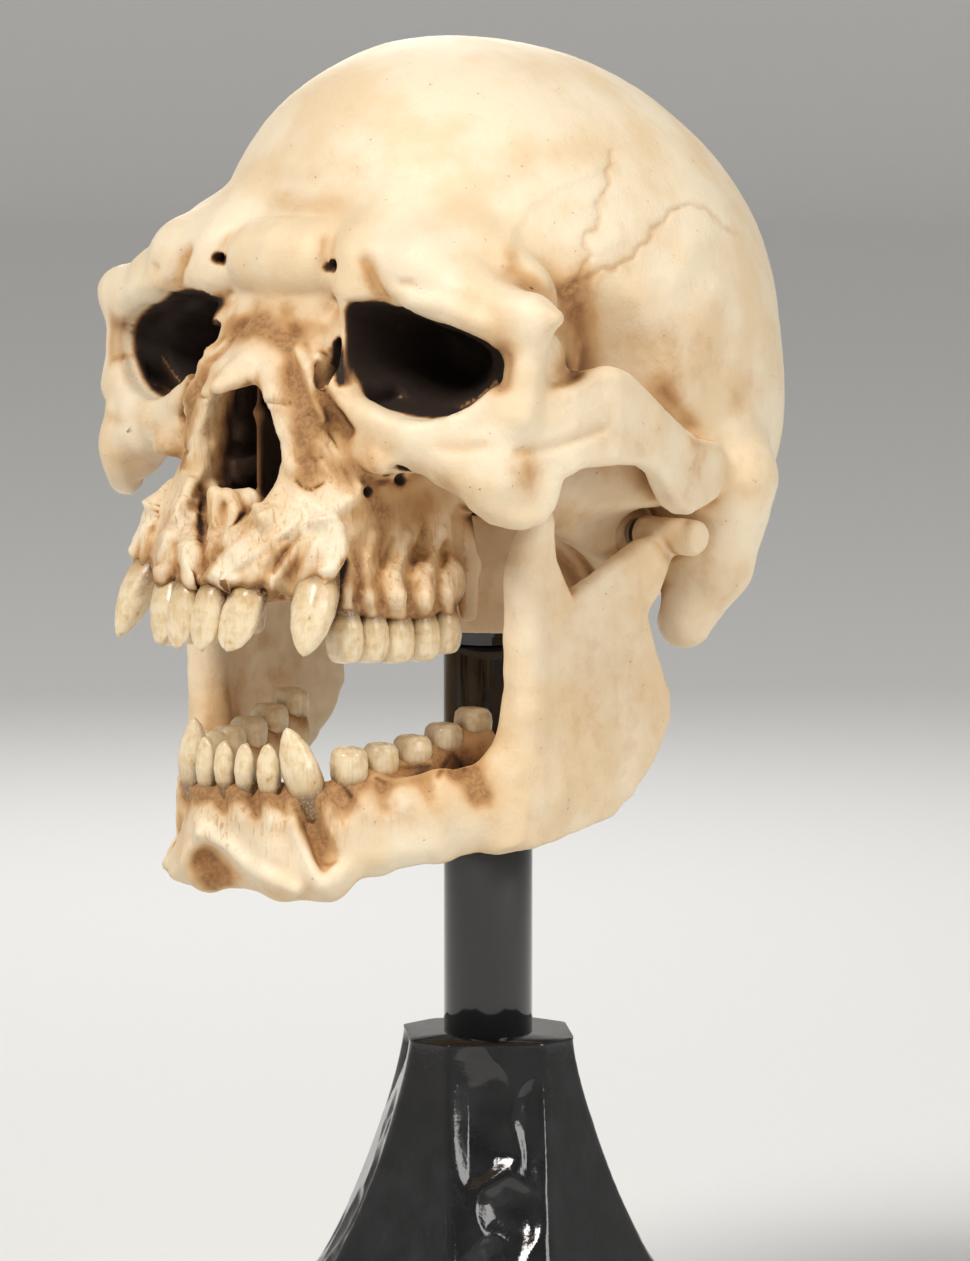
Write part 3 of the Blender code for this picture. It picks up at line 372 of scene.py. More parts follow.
lacquer = Finish("black_lacquer")
drawn = lacquer.grain(1.2, 3.0, lacquer.stretched((1.0, 1.0, 0.03)))
dust = lacquer.cells(1.6).step(0.16, 0.05) * lacquer.grain(14.0, 2.0).step(0.5, 0.7)
lacquer.set(colour=lacquer.mix(dust * 0.5, (0.008, 0.008, 0.009), (0.09, 0.085, 0.08)),
            rough=0.09 + 0.06 * drawn + 0.3 * dust, height=drawn + dust, relief=0.03,
            coat=0.5, coat_rough=0.05)
low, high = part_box("post")
rod = high.x
outline = ((rod - POST_CHAMFER, low.z), (rod, low.z + POST_CHAMFER), (rod, high.z - POST_CHAMFER),
           (rod - POST_CHAMFER, high.z))
lathe("polished_post", outline, lacquer.material, "stand", "post")
for name in ("turning_cap", "skull_socket"):
    for slot in nodes[name].material_slots:
        slot.material = lacquer.material

steel = Finish("steel")
brushed = steel.grain(0.6, 4.0, steel.stretched((1.0, 1.0, 0.1)))
steel.set(colour=steel.mix(brushed, (0.40, 0.40, 0.41), (0.60, 0.60, 0.61)), rough=0.22 + 0.2 * brushed,
          height=brushed, relief=0.02, metal=1.0)
for name in ("post_bolt", "post_washer", "jaw_pin_left", "jaw_pin_right",
             "jaw_washer_left", "jaw_washer_right"):
    for slot in nodes[name].material_slots:
        slot.material = steel.material


# The skull: one resin casting, finished like old bone, ivory on the smooth vault, ochre in its
# seams and stained brown in the fibrous face; painted shade darkens its creases and hollows and goes
# nearly black deep in the eyes and nose. It is worked here as a solid field in millimetres, up from
# the upper teeth's chewing level.


def smin(a, b, k):
    """The smaller of two distances, with the corner between them filled over k millimetres."""
    h = np.clip(0.5 + 0.5 * (b - a) / k, 0, 1)
    return b + (a - b) * h - k * h * (1 - h)


def smax(a, b, k):
    return -smin(-a, -b, k)


def ball(p, centre, radii):
    x, y, z = p[0] - centre[0], p[1] - centre[1], p[2] - centre[2]
    k0 = np.sqrt((x / radii[0]) ** 2 + (y / radii[1]) ** 2 + (z / radii[2]) ** 2)
    k1 = np.sqrt((x / radii[0] ** 2) ** 2 + (y / radii[1] ** 2) ** 2 + (z / radii[2] ** 2) ** 2)
    return k0 * (k0 - 1) / np.maximum(k1, 1e-6)


def limb(p, points, k=2.0, draw=(1, 1, 1)):
    """A rounded limb through (x, y, z, radius) points, drawn out along the axes by draw."""
    x, y, z = p[0] / draw[0], p[1] / draw[1], p[2] / draw[2]
    out = None
    for a, b in zip(points[:-1], points[1:]):
        ax, ay, az = a[0] / draw[0], a[1] / draw[1], a[2] / draw[2]
        bx, by, bz = b[0] / draw[0] - ax, b[1] / draw[1] - ay, b[2] / draw[2] - az
        qx, qy, qz = x - ax, y - ay, z - az
        h = np.clip((qx * bx + qy * by + qz * bz) / (bx * bx + by * by + bz * bz), 0, 1)
        d = np.sqrt((qx - h * bx) ** 2 + (qy - h * by) ** 2 + (qz - h * bz) ** 2) - (a[3] + (b[3] - a[3]) * h)
        out = d if out is None else smin(out, d, k)
    return out * min(draw)


def inside_outline(u, v, points):
    """Distance to a closed outline of (u, v) points, less than nothing inside it."""
    nearest = np.full(u.shape, 1e12, np.float32)
    sign = np.ones(u.shape, np.float32)
    for i, a in enumerate(points):
        b = points[i - 1]
        eu, ev = b[0] - a[0], b[1] - a[1]
        wu, wv = u - a[0], v - a[1]
        t = np.clip((wu * eu + wv * ev) / (eu * eu + ev * ev), 0, 1)
        nearest = np.minimum(nearest, (wu - eu * t) ** 2 + (wv - ev * t) ** 2)
        above, below, left = v >= a[1], v < b[1], eu * wv > ev * wu
        sign = np.where((above & below & left) | (~above & ~below & ~left), -sign, sign)
    return sign * np.sqrt(nearest)


def plate(p, points, middle, half, edge):
    """A standing plate with an outline of (y, z) points, round its edge."""
    flat = inside_outline(p[1], p[2], points) + edge
    thick = np.abs(p[0] - middle) - half + edge
    return (np.minimum(np.maximum(flat, thick), 0)
            + np.sqrt(np.maximum(flat, 0) ** 2 + np.maximum(thick, 0) ** 2) - edge)


def tube(x, y, z, radius, low, high):
    """An upright cylinder round x = y = 0."""
    return np.maximum(np.sqrt(x ** 2 + y ** 2) - radius, np.abs(z - (low + high) / 2) - (high - low) / 2)


def noise(p, size, seed=0):
    """Smooth random swell, about -1 to 1, with swells of that many millimetres."""
    q = [np.asarray(a, np.float64) / size + 31.7 + 7.3 * seed for a in p]
    cell = [np.floor(a) for a in q]
    part = [a - c for a, c in zip(q, cell)]
    cell = [c.astype(np.int64).astype(np.uint32) for c in cell]
    fade = [t * t * t * (t * (t * 6 - 15) + 10) for t in part]
    total = 0.0
    for i in (0, 1):
        for j in (0, 1):
            for k in (0, 1):
                h = ((cell[0] + np.uint32(i)) * np.uint32(73856093)
                     ^ (cell[1] + np.uint32(j)) * np.uint32(19349663)
                     ^ (cell[2] + np.uint32(k)) * np.uint32(83492791) ^ np.uint32(seed * 2654435 + 97))
                h = (h ^ (h >> np.uint32(15))) * np.uint32(2246822519)
                h = (h ^ (h >> np.uint32(13))) * np.uint32(3266489917)
                h = h ^ (h >> np.uint32(16))
                slope = [((h >> np.uint32(s)) & np.uint32(1023)) / 511.5 - 1 for s in (0, 10, 20)]
                dot = slope[0] * (part[0] - i) + slope[1] * (part[1] - j) + slope[2] * (part[2] - k)
                weight = ((fade[0] if i else 1 - fade[0]) * (fade[1] if j else 1 - fade[1])
                          * (fade[2] if k else 1 - fade[2]))
                total = total + weight * dot
    return total * 1.3


def swells(p, size, times=3, seed=0):
    return sum(noise(p, size / 2 ** i, seed + i) / 2 ** i for i in range(times))


def near(p, spots):
    """1 close to any of the (x, y, z, radius) spots, fading to 0 away from them, on both sides."""
    out = np.zeros(p[0].shape)
    for x, y, z, radius in spots:
        out = np.maximum(out, np.exp(-((p[0] - x) ** 2 + (p[1] - y) ** 2 + (p[2] - z) ** 2) / radius ** 2))
    return out


def seen(p):
    """Where the camera sees a point, in the photograph's pixels; most of the far half as if it were near."""
    far_front = (p[0] < 0) & (p[0] > -30) & (p[1] < -95) & (p[2] < 57)
    place = [np.where(far_front, p[0], np.abs(p[0])) - AIM.x, p[1] - AIM.y, p[2] + SEAT - AIM.z]
    side, high, deep = [sum(a * b for a, b in zip(place, way)) for way in (across, upward, ahead)]
    scale = PIXELS_PER_MM * CAMERA_FAR / (CAMERA_FAR + deep)
    return PICTURE_WIDE / 2 + scale * side, PICTURE_HIGH / 2 - scale * high, far_front


def strokes(p, normals, lines, back=-50.0):
    """Brush strokes over the side that the camera sees: strength, then width and points in its pixels."""
    u, v, far_front = seen(p)
    facing = np.where(far_front, normals[:, 0], normals[:, 0] * np.sign(p[0])) * ahead.x
    facing = -1.8 * (facing + normals[:, 1] * ahead.y + normals[:, 2] * ahead.z)
    facing = np.clip(facing, 0, 1) * (p[1] < back)
    out = np.zeros(len(u))
    for strength, width, *points in lines:
        nearest = np.full(len(u), 1e9)
        for a, b in zip(points[:-1] if len(points) > 1 else points, points[1:] or points):
            eu, ev = b[0] - a[0], b[1] - a[1]
            t = np.clip(((u - a[0]) * eu + (v - a[1]) * ev) / max(eu * eu + ev * ev, 1e-6), 0, 1)
            nearest = np.minimum(nearest, (u - a[0] - eu * t) ** 2 + (v - a[1] - ev * t) ** 2)
        out += strength * np.exp(-nearest / width ** 2)
    return out * facing


# The teeth: form, middle of the neck, tip, half width, half depth, and the turn of the width in degrees.
UPPER_TEETH = (
    ("incisor_1", (4.8, -125.4, 27.0), (4.4, -131.8, 9.4), 5.2, 3.8, 0),
    ("incisor_2", (15.4, -121.2, 27.0), (12.6, -129.6, 9.8), 5.9, 3.9, 20),
    ("canine", (31.2, -110.8, 29.5), (35.2, -122.6, 9.4), 6.5, 5.4, 42),
    ("premolar_1", (32.5, -102.0, 19), (33.5, -102.8, 5.2), 4.9, 5.3, 70),
    ("premolar_2", (34.0, -93.0, 18), (35.0, -93.5, 4.6), 4.9, 5.3, 79),
    ("molar_1", (35.2, -83.7, 17), (36.0, -84.0, 3.7), 5.2, 5.5, 84),
    ("molar_2", (36.2, -73.8, 16.5), (36.9, -74.0, 3.4), 5.2, 5.5, 86),
    ("molar_3", (36.8, -64.5, 17.0), (37.3, -64.6, 4.6), 4.9, 5.2, 88))
LOWER_TEETH = (
    ("incisor_1", (3.8, -110.5, -32), (4.0, -112.5, -19), 3.4, 3.4, 0),
    ("incisor_2", (11.5, -109.5, -33), (12.0, -111.5, -18.5), 3.6, 3.4, 12),
    ("canine", (21.0, -103.8, -33.5), (17.6, -109.8, -13.6), 5.5, 4.9, 40),
    ("premolar_1", (26.4, -93.3, -31), (26.6, -93.0, -19.8), 5.2, 5.2, 64),
    ("premolar_2", (28.8, -82.5, -30), (29.0, -82.0, -19.5), 4.9, 5.0, 74),
    ("molar_1", (31.2, -71.2, -28), (31.2, -70.8, -18.2), 5.3, 5.4, 80),
    ("molar_2", (33.2, -59.8, -25), (33.2, -59.2, -15.7), 5.3, 5.4, 82),
    ("molar_3", (34.8, -48.8, -21), (34.8, -48.0, -12.2), 5.1, 5.2, 84))


def roots(p, teeth, deep, fat):
    """The swellings over the roots of the teeth, each a limb tapering into the jaw."""
    out = None
    for form, neck, tip, wide, *_ in teeth:
        neck, tip = np.array(neck, float), np.array(tip, float)
        away = (neck - tip) / np.linalg.norm(neck - tip)
        end = neck + away * deep * (1.5 if form == "canine" else 1.0)
        d = limb(p, [(*(neck + away), wide * fat), (*end, wide * fat * 0.5)])
        out = d if out is None else smin(out, d, 1.0)
    return out


def crowns(p, teeth):
    """Distance to the teeth themselves, for the painted shade round them."""
    out = None
    for _, neck, tip, wide, *_ in teeth:
        d = limb(p, [(*neck, wide * 0.85), (*tip, wide * 0.5)])
        out = d if out is None else np.minimum(out, d)
    return out


ARCH_OUTLINE = [
    (-70.6, 83), (-64.2, 84.3), (-55.6, 87.5), (-47.1, 88.7), (-40, 86.5), (-32, 81.5), (-22.9, 75),
    (-12, 69), (-2.9, 65), (12, 62), (20, 54), (10, 46), (-8, 43), (-16, 46), (-21.6, 51.3), (-26, 56),
    (-33, 59.2), (-45, 60.4), (-58, 60.2), (-64, 57.5), (-66.5, 50), (-70, 45.5), (-76, 43.8), (-82, 46),
    (-86, 50), (-89, 58), (-88, 70), (-82, 80)]


SIDE_WALL = [
    (-104, 20), (-106, 30), (-102, 48), (-94, 60), (-76, 62), (-58, 58), (-55, 40), (-57, 22), (-70, 17),
    (-90, 17)]


EYE_RIM = [
    (27.8, 98), (27.6, 104), (29.0, 107), (34, 107.3), (41.5, 106.2), (45, 106.6), (47.5, 104.4),
    (51, 102.8), (58.5, 101.0), (65, 97.8), (68, 96.2), (70.4, 93.5), (71.2, 90), (70.6, 86.5),
    (68.5, 82.5), (65, 78.8), (59, 75.6), (52.5, 74.2), (46, 74.8), (40, 77), (35.5, 80.6), (31.0, 84.5),
    (29.0, 88), (28.2, 92)]


def eye_hollow(x, y, z):
    """The hollow of an eye: its rim's outline, which narrows and turns inwards as it runs back."""
    rim = np.interp(x, [18, 26, 48, 70, 80], [-100, -97, -89.5, -79, -74])
    back = np.clip((y - rim) / (-46 - rim), 0, 1)
    size = 1 - 0.66 * back
    across = (x - (50.0 - 15 * back)) / size + 50.0
    up = (z - (91.0 - back)) / size + 91.0
    return smax(inside_outline(across, up, EYE_RIM) * size, y + 48, 8)


def nose_hollow(x, y, z):
    """The open nose: narrow under the nasal bones, widest low down, and ragged at its edge."""
    half = np.interp(z, [45, 47, 50, 54, 62, 70, 77, 81, 85],
                     [7.5, 11.5, 13.6, 14.4, 14.2, 13.2, 11.2, 8.8, 4.0])
    half = half * np.interp(y, [-112, -100, -76], [1.0, 0.94, 0.6]) + 0.8 * noise((x, y * 0.4, z), 5.0, 3)
    top = np.interp(y, [-118, -110, -98, -80], [80.0, 82.0, 85.0, 85.0])
    d = smax(np.abs(x) - half, np.maximum(45.5 - z, z - top), 2.5)
    return smax(d, y + 76, 4.0)


def cranium(p):
    x0, y, z = p
    x = np.sqrt(x0 ** 2 + 0.5)
    p = (x, y, z)
    # The braincase.
    d = ball(p, (0, 7.6, 87.2), (76.0, 87.6, 83.4))
    d = smin(d, ball(p, (0, -25, 107), (67, 61, 70)), 10)
    d = smin(d, ball(p, (0, -4, 97), (70, 73, 78)), 10)
    d = smin(d, ball(p, (0, 29.5, 61.5), (69, 62, 55.5)), 12)
    d = smax(d, -ball(p, (0, -52, -2), (74, 78, 52)), 9)
    d = smax(d, -ball(p, (76, -40, 70), (17, 30, 38)), 8)
    d = smax(d, -limb(p, [(61, 3, 34, 9.5), (61, -26, 33, 9.5)]), 4)
    d = smin(d, tube(x, y - 1, z, 27.5, 4.5, 39.5), 8)
    d = smin(d, limb(p, [(66, 28, 50, 16), (63, 25, 25, 12.5), (58.5, 19.5, 8.5, 8.2)]), 8)
    # The blocks behind the orbits and the orbits' outer walls.
    d = smin(d, ball(p, (38, -56, 86), (30, 24, 26)), 8)
    d = smin(d, ball(p, (0, -64, 66), (26, 34, 30)), 8)
    d = smin(d, limb(p, [(75, -67, 89, 11), (62, -54, 87, 17)], draw=(0.33, 1, 1)), 4)
    # The upper jaw: a hollow-palated block with upright side walls and a projecting front.
    jaw = ball(p, (0, -80, 42), (33, 28, 27))
    jaw = smin(jaw, ball(p, (17, -88, 52), (17, 20, 20)), 5)
    jaw = smin(jaw, plate(p, SIDE_WALL, 29.0, 5.6, 4.5), 4)
    jaw = smin(jaw, limb(p, [(10, -104, 50, 8), (15, -109, 42, 9.5), (14, -113, 33, 8.5),
                             (0, -115.5, 34, 8.5)], k=5), 6)
    jaw = smin(jaw, limb(p, [(24, -101, 50, 6.5), (27, -106, 38, 6.5), (29, -107.5, 29, 6)]), 5)
    jaw = smin(jaw, limb(p, [(0, -120, 32, 6.0), (12, -118.5, 32, 6.2), (22, -111.5, 31.5, 6.2),
                             (30, -103, 28, 6.2), (34, -90, 24.5, 6.2), (35.5, -76, 23.5, 6.2),
                             (36, -62, 25, 6.0)], draw=(1, 1, 1.25)), 4)
    jaw = smax(jaw, -ball(p, (0, -84, 8), (23, 32, 21)), 6)
    jaw = smin(jaw, roots(p, UPPER_TEETH, 11, 0.78), 2.4)
    jaw = smin(jaw, limb(p, [(24.5, -99, 56, 2.8), (27.5, -105.5, 46, 4.2), (30.5, -109, 36, 5.2),
                             (31.8, -111.5, 27, 5.3)]), 2.0)
    jaw = smax(jaw, -limb(p, [(38.2, -101.5, 34, 1.6), (38.6, -104.5, 22, 1.9)]), 2.0)
    d = smin(d, jaw, 5)
    d = smin(d, limb(p, [(29, -53, 44, 5), (31.5, -48, 28, 3.2), (32.5, -47.5, 14, 2.0)],
                     draw=(0.8, 1.8, 1)), 3)
    # The cheek and its arch.
    d = smin(d, limb(p, [(33, -90, 66, 8.5), (47, -87.5, 68, 7.5), (58, -84, 64.5, 9),
                         (68, -79.5, 59, 10)]), 5)
    d = smin(d, ball(p, (39.5, -96, 62.5), (4.0, 3.5, 3.4)), 3)
    middle = np.interp(y, [-96, -88, -78, -62, -46, -28, -8, 8, 20], [62, 68, 73.5, 80, 83.5, 83, 79, 74, 68])
    half = np.interp(y, [-96, -80, -60, -30, 0, 20], [4, 4.6, 4.2, 3.8, 5.5, 7])
    d = smin(d, plate(p, ARCH_OUTLINE, middle.astype(np.float32), half.astype(np.float32), 3.0), 4.0)
    d = smin(d, limb(p, [(77.5, -73, 102, 5.5), (76, -74.5, 88, 4.8), (75.5, -77, 76, 5.5)]), 4)
    # The brow: two heavy wedges that end in points, and a round lobe over the nose between them.
    brow = limb(p, [(27, -84.5, 116.5, 11), (44, -82, 115.5, 10.2), (58, -78.5, 108.0, 8.0),
                    (70, -75.5, 104.4, 6.4), (78, -73.5, 104.6, 4.6), (85.0, -72, 103.8, 2.4)], k=4)
    brow = smin(brow, limb(p, [(26, -70, 124, 14), (44, -64, 118, 14), (60, -60, 108, 11)]), 10)
    brow = smin(brow, limb(p, [(27, -90.5, 111.5, 5.0), (44, -87.5, 109.5, 4.6), (60, -82.5, 103.5, 4.2),
                               (70, -78.5, 99.8, 3.8), (79, -74.5, 101.0, 2.8)]), 4)
    d = smin(d, brow, 6)
    d = smin(d, limb(p, [(0, -82, 115, 11.5), (24, -82, 115, 10.5)]), 6)
    d = smax(d, -limb(p, [(22.4, -104.5, 105, 2.6), (22.6, -103.5, 113, 3.0), (23, -101.5, 121, 2.4)]), 6)
    d = smin(d, limb(p, [(0, -87.5, 117, 12.4), (9, -87.0, 117, 11.6)]), 2.5)
    # The lower rim of the orbit.
    d = smin(d, limb(p, [(21.5, -100, 90, 2.4), (24, -99, 82, 3.6), (33, -95, 75.0, 4.6),
                         (47, -90, 70.2, 5.0), (60, -85, 72.5, 5.4), (70, -80, 79.0, 5.2)]), 3.5)
    # The nose: two narrow bones that run out to a point, over side walls that run back to the orbits.
    d = smin(d, ball(p, (0, -84, 76), (22, 20, 32)), 5)
    d = smin(d, limb(p, [(0, -84, 104, 11), (0, -89, 98, 9.0), (0, -96, 92.2, 6.6), (0, -104, 88.2, 5.0),
                         (0, -111, 85.4, 3.8), (0, -118.5, 82.8, 2.3)], draw=(1.15, 1, 1)), 5)
    d = smin(d, limb(p, [(6, -98, 90, 6.0), (9, -105, 85, 4.4), (11.5, -106.5, 79.5, 3.8),
                         (15.5, -104.5, 72, 4.4)]), 4)
    d = smin(d, limb(p, [(11, -87, 102, 7.5), (14, -92, 94, 6.0), (18, -97.5, 84, 5.6), (20, -100.5, 75, 5.6),
                         (19, -102, 65, 5.6), (18.5, -104, 56, 5.2), (15, -108, 49, 4.8)]), 4)
    d = smin(d, limb(p, [(28, -91, 108, 5), (27.2, -92, 96, 3.4), (26.6, -93, 84, 5.0)]) + 9 * (x0 < 0), 4)
    d = smin(d, ball(p, (25, -92, 74), (7, 6, 9)), 4)
    # The orbits, in the solid between nose and cheek, with a slot at each inner corner.
    d = smin(d, ball(p, (20, -82, 88), (14, 13, 20)), 3)
    d = smin(d, ball(p, (40, -79, 68), (20, 14, 10)), 3)
    d = smax(d, -eye_hollow(x, y, z), 1.6)
    slot = limb(p, [(24.2, -98, 94.5, 1.9), (24.4, -98, 84.5, 1.5)], draw=(1, 5, 1))
    d = smax(d, -slot + 2.2 * (x0 < 0), 0.8)
    # The nose's opening, the septum and the scrolls inside, and the spine on its sill.
    d = smax(d, -nose_hollow(x0, y, z), 1.0)
    septum = np.maximum(x - 0.9 - 0.03 * np.abs(y + 100), np.abs(y + 88) - 14)
    d = smin(d, np.maximum(septum, np.abs(z - 66) - 20), 1.2)
    d = smin(d, limb(p, [(11, -97, 68, 1.8), (9.5, -84, 70, 3)], draw=(1, 1, 1.8)), 1.5)
    d = smin(d, limb(p, [(11, -98, 56, 2.2), (9, -84, 57, 3.4)], draw=(1, 1, 1.6)), 1.5)
    d = smin(d, limb(p, [(0, -103, 45, 4.8), (0, -110, 48.0, 4.6), (0, -115.5, 50.0, 3.4)],
                     draw=(1.35, 1, 1)), 3.0)
    d = smin(d, limb(p, [(2.0, -116, 44, 3.6), (2.0, -117.0, 52.0, 1.8)]), 2.5)
    # Nerve holes.
    d = smax(d, -limb(p, [(22.3, -106, 117, 2.2), (22, -88, 116.4, 1.5)]), 1.2)
    d = smax(d, -limb(p, [(44.6, -104, 59.5, 2.0), (44.6, -84, 61, 1.4)]), 1.2)
    d = smax(d, -limb(p, [(36.2, -106, 55.6, 2.2), (36.2, -86, 57, 1.3)]), 1.2)
    # The jaw's socket, its pin's bore and the well for the black socket.
    fossa = np.sqrt((y - 5.7) ** 2 + (z - 34.7) ** 2)
    d = smax(d, -np.maximum(fossa - 8.6, 50.6 - x), 2.0)
    d = smax(d, -np.maximum(fossa - 1.8, np.abs(x - 46) - 6), 0.3)
    return smax(d, -tube(x0, y, z, 20.3, -20.0, 29.6), 0.8)


def skinned(field, low, high, pitch, band=3.0, block=8):
    """The surface of a field as points and four-sided faces; only cells near the surface are worked out."""
    low, high = np.array(low, float), np.array(high, float)
    n = np.ceil((high - low) / pitch / block).astype(int) * block + 1
    middles = [low[i] + pitch * block * (np.arange((n[i] - 1) // block) + 0.5) for i in range(3)]
    grid = np.meshgrid(*middles, indexing="ij")
    coarse = field(tuple(g.ravel().astype(np.float32) for g in grid)).reshape(grid[0].shape)
    busy = np.argwhere(np.abs(coarse) < pitch * block * 0.87 + band)
    value = np.full(n, 10.0, np.float32)
    sign = np.where(coarse < 0, -10.0, 10.0).astype(np.float32)
    value[:-1, :-1, :-1] = np.repeat(np.repeat(np.repeat(sign, block, 0), block, 1), block, 2)
    steps = np.arange(block + 1)
    oi, oj, ok = [a.ravel() for a in np.meshgrid(steps, steps, steps, indexing="ij")]
    batch = max(1, 600000 // len(oi))
    for start in range(0, len(busy), batch):
        a = busy[start:start + batch] * block
        i, j, k = (a[:, 0:1] + oi).ravel(), (a[:, 1:2] + oj).ravel(), (a[:, 2:3] + ok).ravel()
        value[i, j, k] = field(tuple((low[axis] + pitch * q).astype(np.float32)
                                     for axis, q in enumerate((i, j, k))))
    inside = value < 0

    def corner(a, o):
        return a[o[0]:a.shape[0] - 1 + o[0], o[1]:a.shape[1] - 1 + o[1], o[2]:a.shape[2] - 1 + o[2]]

    corners = [(i, j, k) for i in (0, 1) for j in (0, 1) for k in (0, 1)]
    count = sum(corner(inside, o).astype(np.int8) for o in corners)
    cells = np.argwhere((count > 0) & (count < 8))
    index = -np.ones(np.array(value.shape) - 1, np.int64)
    index[tuple(cells.T)] = np.arange(len(cells))
    total, number = np.zeros((len(cells), 3)), np.zeros(len(cells))
    for axis in range(3):
        for o in corners:
            if o[axis]:
                continue
            a = cells + o
            b = a.copy()
            b[:, axis] += 1
            va, vb = value[tuple(a.T)], value[tuple(b.T)]
            crossed = (va < 0) != (vb < 0)
            q = a[crossed].astype(float)
            q[:, axis] += va[crossed] / (va[crossed] - vb[crossed])
            total[crossed] += q
            number[crossed] += 1
    points = low + pitch * total / number[:, None]
    faces = []
    for axis in range(3):
        here = inside[tuple(slice(0, -1) if i == axis else slice(1, -1) for i in range(3))]
        there = inside[tuple(slice(1, None) if i == axis else slice(1, -1) for i in range(3))]
        a = np.argwhere(here != there)
        others = [i for i in range(3) if i != axis]
        a[:, others] += 1
        e = [a.copy() for _ in range(4)]
        e[1][:, others[0]] -= 1
        e[2][:, others] -= 1
        e[3][:, others[1]] -= 1
        quad = np.stack([index[tuple(c.T)] for c in e], 1)
        turned = inside[tuple(a.T)] if axis != 1 else ~inside[tuple(a.T)]
        quad[turned] = quad[turned][:, ::-1]
        faces.append(quad[:, ::-1])
    return points, np.concatenate(faces)


def mesh_points(mesh):
    flat = np.empty(len(mesh.vertices) * 3, np.float32)
    mesh.vertices.foreach_get("co", flat)
    return flat.reshape(-1, 3)


def mesh_normals(mesh):
    flat = np.empty(len(mesh.vertices) * 3, np.float32)
    mesh.vertex_normals.foreach_get("vector", flat)
    return flat.reshape(-1, 3)


def bone_mesh(name, field, low, high, pitch, worked, most):
    """A bone from its field: skinned, worked over by a function of point and normal, then thinned."""
    points, faces = skinned(field, low, high, pitch)
    mesh = bpy.data.meshes.new(name)
    mesh.from_pydata(points.tolist(), [], faces.tolist())
    normals = mesh_normals(mesh)
    moved = points + normals * worked(tuple(points.T), normals)[:, None]
    moved[:, 2] += SEAT
    mesh.vertices.foreach_set("co", (moved * MM).astype(np.float32).ravel())
    mesh.update()
    bone = bpy.data.objects.new(name, mesh)
    scene.collection.objects.link(bone)
    if len(faces) * 2 > most:
        thin = bone.modifiers.new("Thin", "DECIMATE")
        thin.ratio = most / (len(faces) * 2)
        bpy.context.view_layer.update()
        bone.data = bpy.data.meshes.new_from_object(bone.evaluated_get(bpy.context.evaluated_depsgraph_get()))
        bone.modifiers.clear()
    bone.data.shade_smooth()
    return bone


def paint(bone, name, values):
    layer = bone.data.attributes.new(name, "FLOAT", "POINT")
    layer.data.foreach_set("value", np.clip(values, 0, 1).astype(np.float32))


def openness(field, points, normals):
    """How open the surface is to the room at each point: 1 on a bump, 0 deep in a hollow."""
    total, weights = 0.0, 0.0
    for far, weight in ((1.6, 0.8), (4.0, 1.0), (9.0, 1.0), (20.0, 1.2)):
        q = points + normals * far
        total = total + weight * np.clip(field(tuple(q.T)) / far, 0, 1)
        weights += weight
    return total / weights


VOXEL = 0.8
SKULL_ROOM = (-96, -138, -6), (96, 104, 186)
SKULL_TRIANGLES = 196000
FACE_DEPTH, SEAM_DEPTH = 1.5, 0.6
WHOLE_SIDE = 90.0    # strokes with this limit run over the whole side, not only the face
